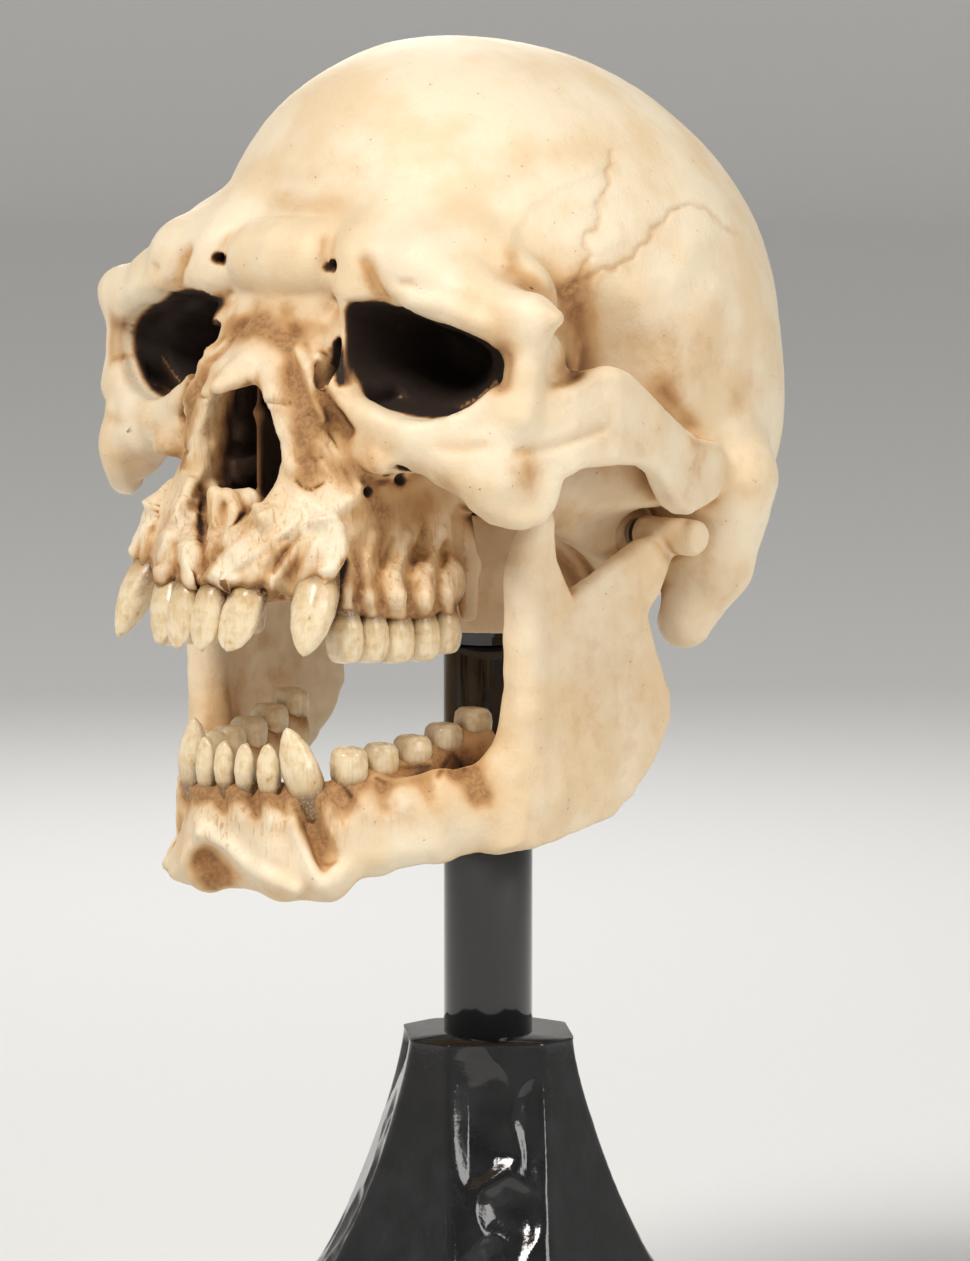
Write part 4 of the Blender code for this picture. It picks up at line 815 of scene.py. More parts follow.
# Brush strokes over the face, placed in the photograph's pixels on its ridges, creases
# and stains: height in millimetres or strength, width, points.
FACE_RELIEF = (
    (2.2, 9, (325, 527), (336, 545), (334, 562), (326, 576)), (1.3, 6, (318, 524), (328, 520),
    (337, 528)), (1.9, 7, (266, 524), (246, 541), (229, 556), (212, 577)), (2.0, 8, (300, 518),
    (275, 546), (246, 565), (224, 582)), (1.4, 6, (309, 528), (292, 556), (272, 580), (262, 592)),
    (1.2, 6, (318, 545), (306, 570), (296, 592)), (1.8, 8, (163, 572), (164, 580)), (2.2, 9, (190, 550),
    (192, 580)), (1.5, 8, (226, 584), (232, 578)), (1.0, 7, (252, 580), (258, 574)), (1.4, 5, (192, 482),
    (183, 500), (178, 522)), (1.2, 5, (213, 486), (214, 512), (219, 530)), (1.6, 5, (246, 488),
    (256, 505), (266, 519), (274, 514)), (1.2, 6, (168, 535), (158, 556)), (1.3, 7, (234, 512),
    (228, 540)), (1.2, 8, (300, 500), (320, 510), (345, 500)), (0.9, 6, (330, 515), (352, 500),
    (362, 488)), (-1.4, 4, (256, 527), (238, 541), (222, 552)), (-1.3, 4, (286, 538), (262, 556),
    (238, 574)), (-1.2, 4, (204, 505), (202, 540), (206, 572)), (-1.2, 4, (224, 505), (222, 530),
    (214, 560)), (-1.0, 3, (302, 537), (284, 552), (274, 572)), (-1.0, 4, (176, 545), (178, 572)),
    (-1.6, 4, (152, 582), (160, 588), (170, 586), (177, 583), (186, 592), (199, 594), (208, 586),
    (217, 590), (226, 595), (238, 590), (247, 594), (256, 588), (262, 586)), (-1.8, 4, (264, 592),
    (264, 604)), (-1.3, 4, (268, 604), (283, 609), (296, 600), (306, 588), (318, 578), (328, 579),
    (333, 590)), (-1.3, 3, (282, 598), (286, 606)), (-3.0, 5, (345, 562), (340, 580), (337, 598),
    (334, 612)), (-0.9, 1.8, (296, 481), (303, 488), (312, 490), (323, 483)), (-0.6, 1.8, (298, 462),
    (312, 462), (322, 458)), (-0.7, 2, (264, 402), (276, 404), (290, 403)), (-0.6, 2, (300, 418),
    (312, 414), (320, 419)), (-1.1, 6, (316, 368), (322, 392), (333, 412), (348, 432)),
    (0.9, 5, (297, 350), (308, 372), (313, 398), (322, 420)), (1.0, 7, (262, 412), (272, 424), (284, 440),
    (290, 465)), (-0.6, 7, (288, 312), (294, 330)), (-0.45, 7, (440, 448), (462, 450), (484, 446)),
    (-0.7, 6, (520, 452), (560, 446), (600, 430)), (-0.7, 9, (328, 240), (328, 262)),
    (-1.1, 8, (364, 262), (374, 286), (384, 302)), (-2.5, 5, (368, 491)), (-2.0, 4, (401, 479)),
    (0.9, 9, (385, 470), (396, 466)), (0.8, 9, (408, 300), (440, 305), (480, 322)), (-0.7, 5, (402, 284),
    (410, 284)), (-1.0, 5, (352, 545), (362, 575), (356, 600)), (0.9, 5, (372, 535), (364, 570),
    (368, 600)), (-1.0, 5, (392, 540), (378, 575), (382, 605)), (0.9, 5, (408, 535), (396, 575),
    (394, 604)), (-0.9, 5, (424, 530), (410, 570), (408, 605)), (0.9, 5, (442, 530), (428, 565),
    (424, 604)), (-0.9, 5, (446, 545), (438, 575), (438, 604)), (1.4, 7, (344, 590), (346, 606)),
    (1.3, 7, (370, 596), (372, 612)), (1.3, 7, (398, 596), (399, 612)), (1.2, 7, (424, 596), (425, 612)),
    (1.1, 6, (446, 592), (448, 610)), (-1.2, 4, (336, 612), (346, 612), (352, 624), (362, 622),
    (372, 624), (379, 632), (388, 624), (399, 624), (405, 633), (414, 624), (424, 624), (430, 630),
    (440, 622), (456, 620)))
# Painted shade in the face's creases and holes, under the brow and under the cheek, carried in the hollow
# number: strength, width, points.
FACE_SHADE = (
    (0.55, 4, (152, 583), (160, 589), (170, 588), (177, 584), (186, 593), (199, 595), (208, 588),
    (217, 592), (226, 596), (238, 592), (247, 596), (262, 590)), (0.7, 4, (264, 592), (264, 605)),
    (0.5, 3.5, (268, 605), (283, 610), (296, 601), (306, 589), (318, 578), (328, 579), (333, 590)),
    (0.6, 3, (282, 598), (286, 606)), (0.75, 5, (345, 562), (340, 580), (337, 598), (334, 612)),
    (0.5, 1.8, (296, 481), (303, 488), (312, 490), (323, 483)), (0.9, 5, (338, 350), (339, 382)),
    (0.34, 6, (306, 345), (316, 368), (322, 392), (333, 412), (349, 433)), (0.22, 12, (266, 322),
    (285, 325), (302, 338)), (0.3, 12, (300, 325), (330, 330), (340, 312)), (0.9, 4.5, (327, 267)),
    (0.9, 6, (368, 491)), (0.9, 4.5, (401, 479)), (0.16, 9, (326, 245), (328, 290)), (0.62, 8, (354, 308),
    (351, 345), (348, 380)), (0.4, 2.2, (288, 548), (300, 540), (312, 536)), (0.35, 3.5, (204, 508),
    (203, 545), (207, 575)), (0.3, 3.5, (256, 527), (238, 541), (222, 552)), (0.3, 3, (286, 538),
    (262, 556), (240, 574)), (0.5, 9, (205, 498), (200, 488)), (0.35, 8, (262, 490), (254, 484)),
    (0.45, 4, (352, 624), (362, 622), (379, 632), (399, 624), (405, 633), (424, 624), (430, 630),
    (456, 620)), (0.45, 26, (478, 545), (480, 600)))
# Stains on the face, and painted shade in its shadowed grooves, the root of the nose and the top of the side
# wall: strength, width, points.
FACE_STAIN_AND_SHADE = (
    (0.55, 17, (290, 372), (304, 400), (306, 440), (308, 474)), (0.4, 9, (325, 395), (334, 420),
    (345, 440)), (0.5, 14, (262, 330), (290, 340), (310, 330)), (0.16, 22, (366, 540), (374, 600)),
    (0.2, 24, (420, 535), (428, 600)), (0.34, 20, (356, 512), (400, 505), (440, 495)),
    (0.35, 12, (372, 480), (378, 505)), (0.3, 16, (212, 530), (206, 565)), (0.25, 14, (286, 560),
    (300, 575)), (0.35, 9, (266, 600), (290, 600)), (0.3, 9, (204, 492), (206, 520)),
    (0.35, 10, (262, 208), (300, 206), (336, 204)), (0.3, 9, (368, 268), (376, 292)),
    (0.35, 9, (388, 302), (404, 300)), (0.1, 9, (450, 447), (484, 445)), (0.3, 16, (528, 466),
    (530, 490)), (0.35, 10, (245, 522), (262, 522)), (0.3, 20, (345, 470), (380, 455)))
SEAMS = (
    (1.0, 2.4, (612, 150), (614, 162), (606, 171), (610, 183), (604, 195), (597, 204), (601, 215),
    (597, 229), (586, 234), (584, 246), (591, 256), (583, 266), (579, 279)), (1.0, 2.6, (566, 291),
    (579, 282), (594, 275), (603, 268), (614, 270), (623, 262), (634, 257), (640, 246), (650, 241),
    (654, 228), (664, 222), (672, 210), (690, 204), (708, 210), (722, 226), (736, 234)))
VAULT_RELIEF = (
    (0.9, 16, (690, 246), (676, 276)), (0.8, 15, (640, 296), (652, 318)), (0.8, 16, (712, 292),
    (704, 320)), (0.7, 12, (600, 246), (616, 238)), (0.7, 7, (506, 262), (510, 230), (526, 204),
    (556, 184), (592, 172)), (-0.9, 9, (514, 270), (532, 284), (552, 296)), (-1.0, 14, (575, 310),
    (574, 370)), (-0.8, 12, (724, 350), (716, 392)), (0.8, 10, (694, 446), (728, 432), (756, 408)),
    (-0.9, 12, (668, 396), (690, 424)), (-0.7, 14, (736, 380), (752, 396)))
# Stains on the vault, with painted shade in the temple's hollow behind the brow in the first, broad stroke:
# strength, width, points.
VAULT_STAIN_AND_SHADE = (
    (0.75, 24, (574, 296), (572, 368)), (0.6, 8, (508, 250), (516, 270), (534, 284)),
    (0.45, 9, (562, 290), (598, 274), (624, 262)), (0.6, 11, (664, 392), (680, 412), (700, 438)),
    (0.35, 14, (738, 392), (752, 386)), (0.22, 30, (610, 350), (690, 366)), (0.32, 24, (680, 505),
    (740, 475)), (0.14, 16, (452, 214), (500, 180), (560, 156), (604, 150)), (0.3, 8, (640, 250),
    (656, 226)), (0.22, 7, (610, 156), (607, 186), (599, 206)), (0.22, 8, (596, 232), (585, 242),
    (588, 264), (578, 280)), (0.16, 22, (300, 178), (350, 165)), (0.3, 24, (600, 430), (650, 440)),
    (0.4, 30, (700, 560), (720, 600)), (0.25, 30, (640, 330), (700, 345)))
FIBRE_SPOTS = (
    (0, -118, 38, 15), (17, -115, 40, 15), (30, -104, 40, 13), (36, -88, 28, 15), (36, -72, 28, 15),
    (12, -101, 78, 9), (20, -100, 66, 11), (26, -98, 56, 10))
STAIN_SPOTS = (
    (69, -71, 119, 5), (0, -96, 99, 7), (9, -96, 92, 6), (18, -100, 72, 9), (22, -100, 62, 8),
    (28, -97, 60, 8), (36, -90, 38, 8), (36, -74, 38, 8), (36, -80, 22, 9), (37, -98, 30, 7),
    (10, -120, 28, 7), (21, -118, 36, 8), (64, -44, 100, 13), (65, -47, 111, 8), (75, -10, 82, 7),
    (84, -7, 60, 7), (78, -78, 61, 5), (74, 26, 76, 6), (60, -86, 56, 6), (0, -60, 20, 30),
    (60, 5, 40, 16), (50, -30, 40, 18), (0, -20, 20, 30))


def face_relief(p, normals):
    """Fibres that run down the face, with scattered pits between them, and the strokes."""
    fibre = near((np.abs(p[0]), p[1], p[2]), FIBRE_SPOTS)
    slant = (p[0] + 0.55 * (p[2] - 30) * np.sign(p[0]) + 1.6 * noise(p, 9.0, 23), p[1] + 0.35 * p[2],
             p[2] * 0.20)
    ridge = 1 - 2 * np.abs(swells(slant, 6.5, 2, 21))
    out = fibre * (0.85 * ridge + 0.55 * swells(slant, 3.0, 2, 24)
                   - 0.4 * np.clip(noise(slant, 2.0, 25), 0, 1))
    out += fibre * 0.6 * swells(p, 9.0, 2, 27)
    return out + FACE_DEPTH * strokes(p, normals, FACE_RELIEF)


def cranium_work(p, normals):
    x = np.abs(p[0])
    q = (x, p[1], p[2])
    out = 0.5 * swells(p, 34.0, 2, 5)
    lumpy = near(q, [(30, -90, 112, 22), (60, -80, 108, 18), (50, -88, 62, 18), (76, -70, 60, 18),
                     (66, 26, 40, 18), (0, -96, 114, 14)])
    out += lumpy * 0.45 * swells(p, 11.0, 3, 11)
    out += face_relief(p, normals)
    # Seams, each a fine wandering groove, and the low swells of the temple.
    wander = (p[0], p[1] + 0.8 * noise(p, 3.0, 31), p[2] + 0.8 * noise(p, 3.0, 33))
    out -= SEAM_DEPTH * strokes(wander, normals, SEAMS, WHOLE_SIDE)
    out += strokes(p, normals, VAULT_RELIEF, WHOLE_SIDE)
    return out + 0.10 * swells(p, 3.0, 2, 41)


skull = bone_mesh("aged_cranium", cranium, *SKULL_ROOM, VOXEL, cranium_work, SKULL_TRIANGLES)
points, normals = mesh_points(skull.data) / MM - np.array((0, 0, SEAT)), mesh_normals(skull.data)
p = tuple(points.T)
q = (np.abs(p[0]), p[1], p[2])
# Painted shade, kept as the hollow number: darker where the surface is closed in from the room, and along the
# face's shade strokes.
open_share = openness(cranium, points, normals)
# Painted shade round the upper teeth where they go into the jaw, added to the stains.
teeth_shade = np.exp(-np.clip(crowns(q, UPPER_TEETH), 0, 99) / 2.2)
rim = np.interp(q[0], [0, 26, 48, 70, 80], [-99, -97, -89.5, -79, -74])
inwards = (np.sign(p[0]) * normals[:, 0] * (50 - q[0]) + normals[:, 1] * (-75 - p[1])
           + normals[:, 2] * (91 - p[2]))
# Painted shade on the inward-facing walls of the eyes from just behind the rim, and deep in the nose, going
# nearly black.
in_eye = (np.clip(9.0 - eye_hollow(*q), 0, 1) * np.clip((p[1] - rim + 0.5) / 4.0, 0, 0.92)
          * np.clip(inwards * 0.3, 0, 1))
in_nose = np.clip(2.5 - nose_hollow(*p), 0, 1) * np.clip((p[1] + 111) / 13.0, 0, 0.86)
hollow = np.maximum(1 - open_share, np.maximum(in_eye, in_nose))
paint(skull, "hollow", np.maximum(hollow, hollow * 0.5 + strokes(p, normals, FACE_SHADE)))
blotch = 0.75 + 0.5 * swells(p, 9.0, 3, 51)
face = near(q, [(0, -112, 60, 34), (14, -112, 30, 30), (34, -95, 30, 26), (34, -70, 30, 26),
                (20, -100, 80, 18), (0, -96, 96, 16)])
stain_and_shade = near(q, STAIN_SPOTS) * 0.6 * blotch + teeth_shade
stain_and_shade += 1.5 * strokes(p, normals, FACE_STAIN_AND_SHADE) * (0.5 + 0.5 * blotch)
stain_and_shade += strokes(p, normals, VAULT_STAIN_AND_SHADE, WHOLE_SIDE) * blotch
# The whole face is stained darker than the vault; painted shade darkens its creases further and lightens its
# ridges.
paint(skull, "stain_and_shade", stain_and_shade + 0.42 * face * (0.6 + 0.4 * blotch) - 0.22 * face_relief(p, normals))
paint(skull, "seam", strokes(p, normals, SEAMS, WHOLE_SIDE) * (0.7 + 0.5 * swells(p, 7.0, 2, 55)))
paint(skull, "fibre", near(q, FIBRE_SPOTS))

PALE_IVORY, IVORY, TAN = (0.90, 0.77, 0.565), (0.84, 0.655, 0.42), (0.65, 0.385, 0.160)
OCHRE, UMBER = (0.53, 0.275, 0.090), (0.38, 0.185, 0.065)
# Brown serves stains and painted shade; the last, nearly black colour is painted shade deep in the hollows.
BROWN, DEEP_SHADE = (0.165, 0.072, 0.026), (0.020, 0.0085, 0.0035)


def bone_finish(name):
    """Old bone: the hollow number (painted shade), the number for stains mixed with painted shade, and the
    seam and fibre numbers on the mesh choose among its colours.
    """
    bone = Finish(name)
    hollow, stain_and_shade, seam, fibre = [bone.painted(n) for n in ("hollow", "stain_and_shade", "seam", "fibre")]
    large, middling, fine = bone.grain(26.0, 3.0), bone.grain(6.0, 4.0), bone.grain(1.4, 3.0)
    strands = bone.grain(1.3, 3.0, bone.stretched((1.0, 1.0, 0.16)), twist=0.6)
    colour = bone.mix(large.step(0.38, 0.66), PALE_IVORY, IVORY)
    # The hollow number is painted shade: it turns creases tan, ochre, umber and brown as it deepens.
    tan = (hollow.step(0.20, 0.60) * 0.8 + stain_and_shade * 1.15 + 0.16 * middling.step(0.55, 0.78)
           + fibre * 0.55 * strands.step(0.48, 0.66)).clamp()
    colour = bone.mix(tan * 0.9, colour, TAN)
    ochre = (seam * 0.6 + stain_and_shade * middling.step(0.45, 0.62) * 0.6 + hollow.step(0.45, 0.8) * 0.5
             + fibre * strands.step(0.60, 0.72) * 0.5).clamp()
    colour = bone.mix(ochre * 0.85, colour, OCHRE)
    umber = (hollow.step(0.36, 0.68) * 0.85 + stain_and_shade.step(0.45, 1.15) * 0.85
             + fibre * strands.step(0.58, 0.70) * 0.35).clamp()
    colour = bone.mix(umber, colour, UMBER)
    brown = (hollow.step(0.50, 0.80) + stain_and_shade.step(0.85, 1.0) * fine.step(0.40, 0.60) * 0.4).clamp()
    colour = bone.mix(brown, colour, BROWN)
    # Nearly black painted shade in the deepest hollows.
    colour = bone.mix(hollow.step(0.66, 0.90), colour, DEEP_SHADE)
    speck = bone.cells(2.6).step(0.12, 0.05) * middling.step(0.5, 0.7)
    colour = bone.mix(speck * 0.5, colour, BROWN)
    height = fine * 0.5 + strands * fibre * 1.6 - speck + bone.grain(0.45, 2.0) * 0.35
    return bone.set(colour=colour, rough=0.42 + 0.16 * middling + 0.20 * tan + 0.20 * umber, height=height,
                    relief=0.28, coat=0.04, coat_rough=0.35)


skull.data.materials.append(bone_finish("old_bone"))
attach(skull, "skull")
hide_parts("cranium")


# The upper teeth: each is a casting of its own, glued into the jaw by its root. The front ones are
# leaf-shaped, the fangs long and ridged, and the cheek teeth blunt, with four low cusps.
RINGS, RING_POINTS = 40, 40
# Place along the tooth, half width, half depth and push outward, from the root's end to the tip.
TOOTH_FORMS = {
    "incisor": ((-0.30, 0.60, 0.60, 0), (0.0, 0.80, 0.86, 0), (0.15, 0.92, 1.0, 0.1), (0.42, 1.0, 0.92, 0.16),
                (0.68, 0.93, 0.62, 0.08), (0.86, 0.68, 0.36, 0), (0.96, 0.36, 0.20, 0), (1.0, 0.02, 0.02, 0)),
    "canine": ((-0.30, 0.66, 0.70, 0), (0.0, 0.90, 0.95, 0), (0.18, 1.0, 1.0, 0.08), (0.42, 0.98, 0.92, 0.12),
               (0.68, 0.80, 0.72, 0.06), (0.86, 0.50, 0.46, 0), (0.96, 0.24, 0.22, 0), (1.0, 0.02, 0.02, 0)),
    "cheek": ((-0.30, 0.70, 0.70, 0), (0.0, 0.80, 0.84, 0), (0.25, 0.97, 0.98, 0.03), (0.55, 1.0, 1.0, 0.03),
              (0.80, 0.93, 0.92, 0), (0.93, 0.74, 0.72, 0), (0.985, 0.42, 0.40, 0), (1.0, 0.02, 0.02, 0))}


def tooth(name, form, neck, tip, wide, deep, turn, side, material, body):
    neck, tip = np.array(neck, float) * (side, 1, 1), np.array(tip, float) * (side, 1, 1)
    long = np.linalg.norm(tip - neck)
    up = (tip - neck) / long
    turn = math.radians(turn) * side
    forward = np.array((math.cos(turn), math.sin(turn), 0.0))
    across = np.cross(up, forward)
    across /= np.linalg.norm(across)
    forward = np.cross(across, up)
    outward = neck * (1, 1, 0) - np.array((0, -70.0, 0))
    if across @ outward < 0:
        across = -across
    kind = form.split("_")[0]
    table = np.array(TOOTH_FORMS[kind if kind in TOOTH_FORMS else "cheek"])
    share = np.linspace(-0.30, 1.0, RINGS)
    if kind not in TOOTH_FORMS:
        share = -0.30 + 1.3 * np.sin(np.linspace(0, math.pi / 2, RINGS)) ** 0.9
    angle = np.linspace(0, 2 * math.pi, RING_POINTS, endpoint=False)
    t, a = np.meshgrid(share, angle, indexing="ij")
    w, h, push = [np.interp(t, table[:, 0], table[:, i]) for i in (1, 2, 3)]
    power = 2.0 if kind in TOOTH_FORMS else 2.6
    c, s = np.cos(a), np.sin(a)
    rounding = (np.abs(c) ** power + np.abs(s) ** power) ** (-1 / power)
    u, v = w * wide * rounding * c, h * deep * rounding * s
    rise = t * long
    if kind == "canine":
        v += 0.9 * np.exp(-(c / 0.28) ** 2) * np.clip(s, 0, 1) * np.clip(t + 0.1, 0, 1) * (1 - t) * 2
    if kind == "incisor":
        v -= np.clip(-s, 0, 1) * np.exp(-(c / 0.5) ** 2) * 1.2 * np.clip(t, 0, 1) * deep * 0.3
    if kind not in TOOTH_FORMS:
        edge = np.clip((t - 0.6) / 0.4, 0, 1)
        rise -= edge * 1.5 * (1 - w) * (0.8 - 0.8 * np.abs(c * s) * 2)
        rise += edge * 0.9 * np.cos(2 * a) ** 2 * w
    v = v + push * deep
    points = (neck + forward * u[..., None] + across * v[..., None] + up * rise[..., None]).reshape(-1, 3)
    along = (u.ravel() * 2.2 + wide, v.ravel() * 2.2, rise.ravel() * 0.4)
    ridge = 0.16 * noise(along, 1.9, int(abs(neck[1])) % 40)
    centre = (neck + up * rise[..., None]).reshape(-1, 3)
    away = points - centre
    points += away / np.maximum(np.linalg.norm(away, axis=1, keepdims=True), 0.3) * ridge[:, None]
    points[:, 2] += SEAT
    rows = np.arange(RINGS * RING_POINTS).reshape(RINGS, RING_POINTS)
    following = np.roll(rows, -1, 1)
    quads = np.stack([rows[:-1], following[:-1], following[1:], rows[1:]], -1).reshape(-1, 4)
    handed = np.dot(np.cross(forward, across), up) > 0
    faces = [q if handed else q[::-1] for q in quads.tolist()]
    ends = (rows[0].tolist()[::-1], rows[-1].tolist())
    faces += [e if handed else e[::-1] for e in ends]
    mesh = bpy.data.meshes.new(name)
    mesh.from_pydata((points * MM).tolist(), [], faces)
    mesh.shade_smooth()
    mesh.materials.append(material)
    piece = bpy.data.objects.new(name, mesh)
    scene.collection.objects.link(piece)
    paint(piece, "along", np.clip(t, 0, 1).ravel())
    # Painted shade on the sides that face the next teeth, fading towards the tip.
    paint(piece, "between", (np.abs(c) ** 3 * np.clip(1 - t * 0.9, 0, 1)).ravel())
    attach(piece, body)
    return piece


# The last colour is for grime and painted shade.
CREAM, HONEY, NECK, GRIME_AND_SHADE = (0.87, 0.73, 0.50), (0.75, 0.56, 0.31), (0.52, 0.33, 0.14), (0.13, 0.065, 0.028)


def enamel_finish(name):
    """Old enamel: cream at the tip, ochre at the neck, and painted shade that turns it brown between one
    tooth and the next.
    """
    enamel = Finish(name)
    along, between = enamel.painted("along"), enamel.painted("between")
    cloud, fine = enamel.grain(3.2, 3.0), enamel.grain(0.7, 3.0)
    streak = enamel.grain(1.0, 3.0, enamel.stretched((1.0, 1.0, 0.12)))
    colour = enamel.mix(cloud.step(0.4, 0.7), CREAM, HONEY)
    low = ((1.0 - along).step(0.45, 1.05) * 0.8 + 0.25 * streak.step(0.5, 0.7)).clamp()
    colour = enamel.mix(low, colour, NECK)
    # Painted shade at the root and neck and between the teeth, with patches of grime.
    grime_and_shade = ((1.0 - along).step(0.80, 1.02) * 0.8 + between.step(0.35, 0.95) * 0.85
             + cloud.step(0.66, 0.78) * 0.5).clamp()
    colour = enamel.mix(grime_and_shade * fine.step(0.25, 0.5), colour, GRIME_AND_SHADE)
    return enamel.set(colour=colour, rough=0.24 + 0.25 * grime_and_shade + 0.1 * streak,
                      height=streak + fine * 0.4, relief=0.10, coat=0.25, coat_rough=0.12)


enamel = enamel_finish("old_enamel")
for form, *sizes in UPPER_TEETH:
    for side, word in ((1, "left"), (-1, "right")):
        piece = tooth(f"crown_upper_{word}_{form}", form, *sizes, side, enamel, "skull")
        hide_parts(f"upper_{word}_{form}")


# The lower jaw: the second casting, hung on two steel pins. It has flat upright branches with a
# hook in front and a knuckle behind, a deep plain body, and a broad chin with a hollow each side.
RAMUS_OUTLINE = [
    (-47.5, 46.9), (-53.3, 43.9), (-58, 37.5), (-60.5, 27.7), (-61, 16.3), (-60, -1.3), (-60.5, -18),
    (-62, -32), (-64, -49), (-56, -50), (-39.5, -47.2), (-22.6, -44.1), (-13.7, -39), (-1.2, -27.2),
    (4.6, -17.6), (4.4, -10.2), (-1.1, 1.8), (-4.5, 11.6), (-0.5, 20), (4.5, 30), (4.5, 35.5),
    (-5.8, 34.2), (-18.3, 29.4), (-28.4, 25), (-38.3, 21.6), (-44.3, 31.8), (-46.5, 40.7)]


def mandible(p):
    x0, y, z = p
    x = np.sqrt(x0 ** 2 + 0.5)
    p = (x, y, z)
    middle = (61.0 + np.interp(z, [-60, -35, -5, 20, 50], [0.5, 1.5, 0.8, 0.0, 0.0])
              + np.interp(y, [-75, -55, -30, 0], [-5, -0.5, 0.6, 0.3]))
    half = np.interp(z, [-60, -30, 10, 50], [4.6, 4.4, 3.8, 3.4])
    d = plate(p, RAMUS_OUTLINE, middle.astype(np.float32), half.astype(np.float32), 2.8)
    d = smin(d, limb(p, [(61, -51, 42, 3.2), (61, -56, 30, 4.0), (61, -57, 10, 4.8), (60, -56, -10, 5.4),
                         (57, -58, -28, 6.0)]), 4)
    d = smin(d, limb(p, [(61, -3, 20, 4.2), (61, 5.7, 33.5, 4.5)]), 4)
    knuckle = np.sqrt((y - 5.7) ** 2 + (z - 34.7) ** 2)
    d = smin(d, smax(knuckle - 5.4, np.abs(x - 64.2) - 11.4, 3.5), 2.0)
    body = limb(p, [(0, -107, -47, 7.0), (14, -106, -47, 7.2), (24, -100, -46, 7.0), (34, -89, -43, 6.6),
                    (45, -75, -40, 6.8), (54, -62, -37.5, 6.6), (59, -48, -35, 5.6)], draw=(1, 1, 1.9))
    d = smin(d, body, 6)
    gum = limb(p, [(0, -108.5, -39, 5.2), (11, -106.5, -39, 5.2), (20, -100.5, -39, 5.2), (28, -88, -36, 5.8),
                   (32, -70, -33, 6.4), (36, -48, -26, 6.4)], draw=(1, 1, 1.5))
    gum = smin(gum, roots(p, LOWER_TEETH, 11, 0.84), 2.0)
    d = smin(d, gum, 3.5)
    d = smin(d, limb(p, [(34, -68, -42, 7), (53, -52, -38, 6)]), 6)
    chin = limb(p, [(0, -109, -55, 4.6), (14, -108, -56, 6.2), (27, -102, -57, 5.8)], k=3)
    chin = smin(chin, limb(p, [(7, -110, -42, 3.0), (15, -110.5, -51, 3.6), (26, -104, -57, 4.0)]), 3)
    d = smin(d, chin, 5)
    d = smax(d, -limb(p, [(24, -108, -38, 2.4), (29, -104, -50, 1.6)]), 4)
    d = smax(d, -np.maximum(knuckle - 1.8, x - 71), 0.2)
    d = smax(d, -np.maximum(knuckle - 3.7, np.abs(x - 71.5) - 1.4), 0.2)
    return smax(d, 52.0 - x - 1e3 * (knuckle > 9), 0.3)


JAW_FIBRE_SPOTS = (
    (0, -112, -38, 12), (14, -109, -38, 11), (24, -100, -38, 10), (30, -84, -36, 10), (36, -68, -32, 11))
JAW_STAIN_SPOTS = (
    (0, -112, -34, 8), (10, -111, -35, 8), (20, -106, -38, 9), (26, -101, -46, 6), (28, -92, -36, 8),
    (33, -78, -34, 9), (36, -66, -30, 10), (44, -56, -24, 12), (52, -52, -18, 8), (60, -40, 22, 6),
    (52, -8, 20, 12), (50, -30, -10, 18))


JAW_ROOM = (-74, -128, -76), (74, 20, 54)
JAW_TRIANGLES = 120000
JAW_DEPTH = 1.3
JAW_RELIEF = (
    (1.9, 8, (208, 832), (230, 846), (252, 866), (276, 880), (296, 888)), (1.5, 7, (205, 832), (190, 850),
    (174, 876)), (-2.6, 18, (204, 862), (216, 876)), (1.5, 8, (286, 800), (296, 832), (308, 862),
    (322, 884)), (-1.2, 7, (308, 824), (314, 845), (323, 868)), (1.0, 8, (268, 798), (272, 820)),
    (0.9, 8, (237, 796), (238, 815)), (0.9, 8, (203, 798), (200, 820)), (-1.1, 5, (253, 788), (257, 815)),
    (-1.1, 5, (219, 788), (222, 812)), (-1.0, 5, (280, 792), (286, 815)), (-1.1, 9, (344, 798),
    (342, 814)), (0.9, 9, (362, 800), (366, 812)), (0.9, 9, (402, 792), (404, 806)), (-0.8, 7, (384, 788),
    (386, 806)), (-0.8, 7, (424, 778), (430, 798)), (0.9, 16, (345, 868), (430, 852)),
    (-1.0, 14, (462, 770), (478, 792)))
# Stains on the jaw, with painted shade in the groove beside the canine's root, in the hollow of the chin and
# under its edge.
JAW_STAIN_AND_SHADE = (
    (0.7, 11, (292, 790), (306, 815), (314, 840), (323, 865)), (0.6, 18, (204, 862), (216, 876)),
    (0.8, 12, (196, 790), (240, 790), (276, 800)), (0.9, 10, (335, 790), (352, 800)),
    (0.7, 10, (380, 785), (430, 780)), (1.2, 15, (450, 762), (472, 778), (482, 800)),
    (0.4, 16, (345, 812), (440, 802)), (0.4, 18, (232, 884), (305, 897)))
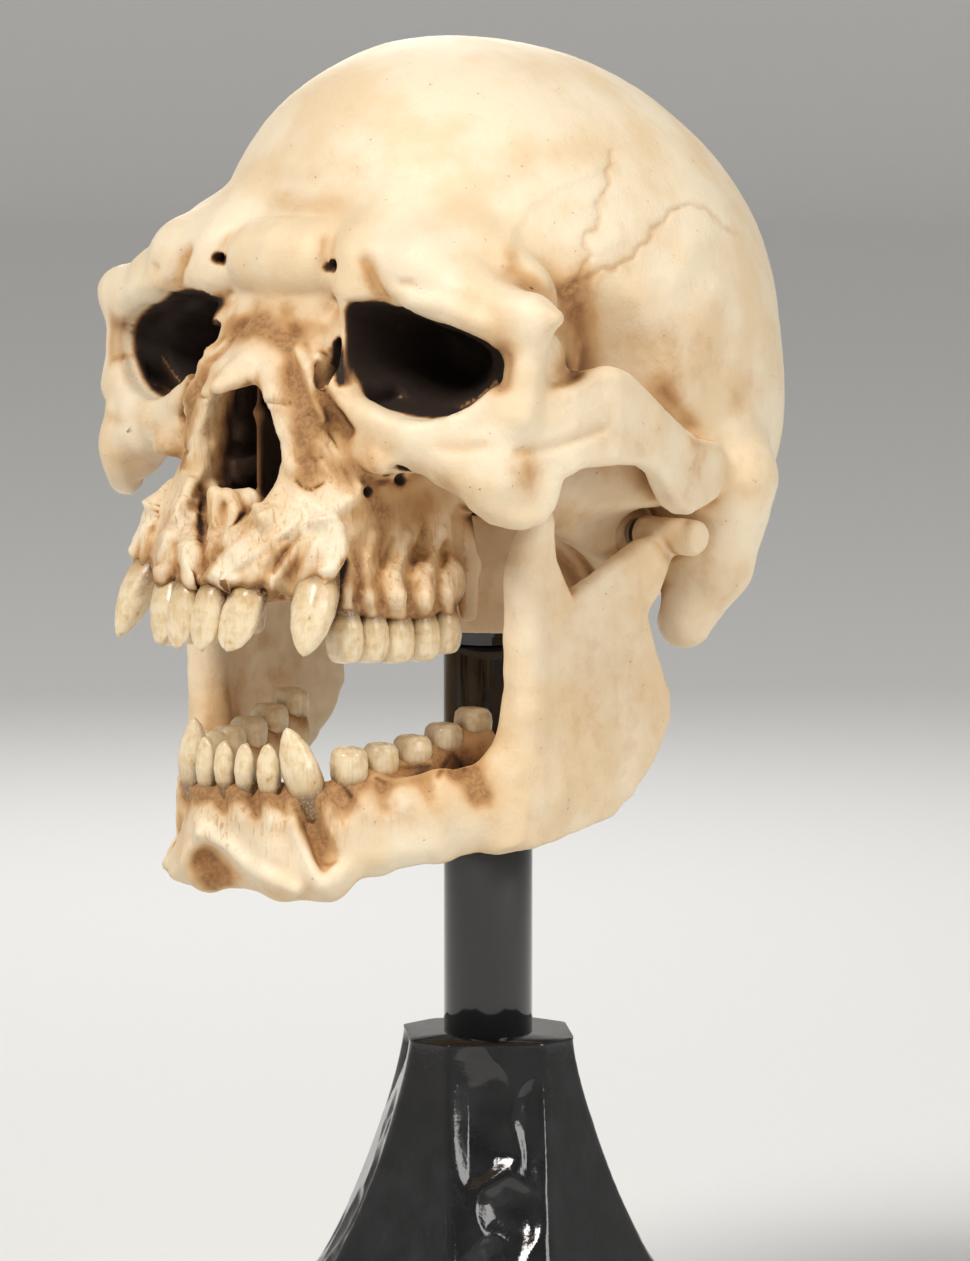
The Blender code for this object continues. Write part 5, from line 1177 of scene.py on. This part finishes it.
# Painted shade in the sockets and creases of the jaw, carried in the hollow number.
JAW_SHADE = (
    (0.6, 4, (288, 782), (298, 794), (309, 804)), (0.6, 4, (332, 770), (340, 782), (352, 797)),
    (0.5, 4, (402, 768), (430, 766)), (0.5, 3, (376, 778), (385, 783)), (0.45, 3.5, (192, 790),
    (190, 800)), (0.5, 3, (274, 792), (284, 778)), (0.5, 5, (438, 776), (452, 752), (464, 770)),
    (0.22, 7, (317, 835), (323, 862)), (0.4, 3, (248, 776), (252, 790)))


def jaw_relief(p, normals):
    """The fibres under the front teeth, and the strokes."""
    fibre = near((np.abs(p[0]), p[1], p[2]), JAW_FIBRE_SPOTS)
    return (fibre * 0.6 * swells((p[0], p[1], p[2] * 0.3), 4.4, 3, 65)
            + JAW_DEPTH * strokes(p, normals, JAW_RELIEF))


def mandible_work(p, normals):
    q = (np.abs(p[0]), p[1], p[2])
    out = 0.5 * swells(p, 26.0, 2, 61) + 0.35 * swells(p, 9.0, 2, 63) + jaw_relief(p, normals)
    rough = near(q, [(64, -14, -30, 16), (60, -6, -12, 10)])
    return out + rough * 0.7 * swells(p, 6.0, 3, 67) + 0.08 * swells(p, 3.0, 2, 69)


jaw = bone_mesh("aged_mandible", mandible, *JAW_ROOM, VOXEL, mandible_work, JAW_TRIANGLES)
points, normals = mesh_points(jaw.data) / MM - np.array((0, 0, SEAT)), mesh_normals(jaw.data)
p = tuple(points.T)
q = (np.abs(p[0]), p[1], p[2])
# Painted shade, kept as the hollow number: darker where the surface is closed in from the room, and along the
# jaw's shade strokes.
hollow = (1 - openness(mandible, points, normals)) * 0.9
paint(jaw, "hollow", np.maximum(hollow, hollow * 0.5 + strokes(p, normals, JAW_SHADE)))
# Painted shade round the lower teeth where they go into the jaw, added to the stains.
teeth_shade = np.exp(-np.clip(crowns(q, LOWER_TEETH), 0, 99) / 2.2)
blotch = 0.75 + 0.5 * swells(p, 9.0, 3, 71)
# Stains on the jaw, with painted shade round the teeth and in the carved creases, and lighter on the ridges.
paint(jaw, "stain_and_shade", (near(q, JAW_STAIN_SPOTS) * 0.7 + strokes(p, normals, JAW_STAIN_AND_SHADE)) * blotch + teeth_shade
      - 0.2 * jaw_relief(p, normals) + 0.12)
paint(jaw, "seam", np.zeros(len(points)))
paint(jaw, "fibre", near(q, JAW_FIBRE_SPOTS))
jaw.data.materials.append(bone_finish("old_bone_jaw"))
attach(jaw, "jaw")
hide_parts("mandible")


# The lower teeth: made and set like the upper ones, a little smaller, with the same finish.
# They go down with the jaw when it opens.
for form, *sizes in LOWER_TEETH:
    for side, word in ((1, "left"), (-1, "right")):
        piece = tooth(f"crown_lower_{word}_{form}", form, *sizes, side, enamel, "jaw")
        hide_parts(f"lower_{word}_{form}")
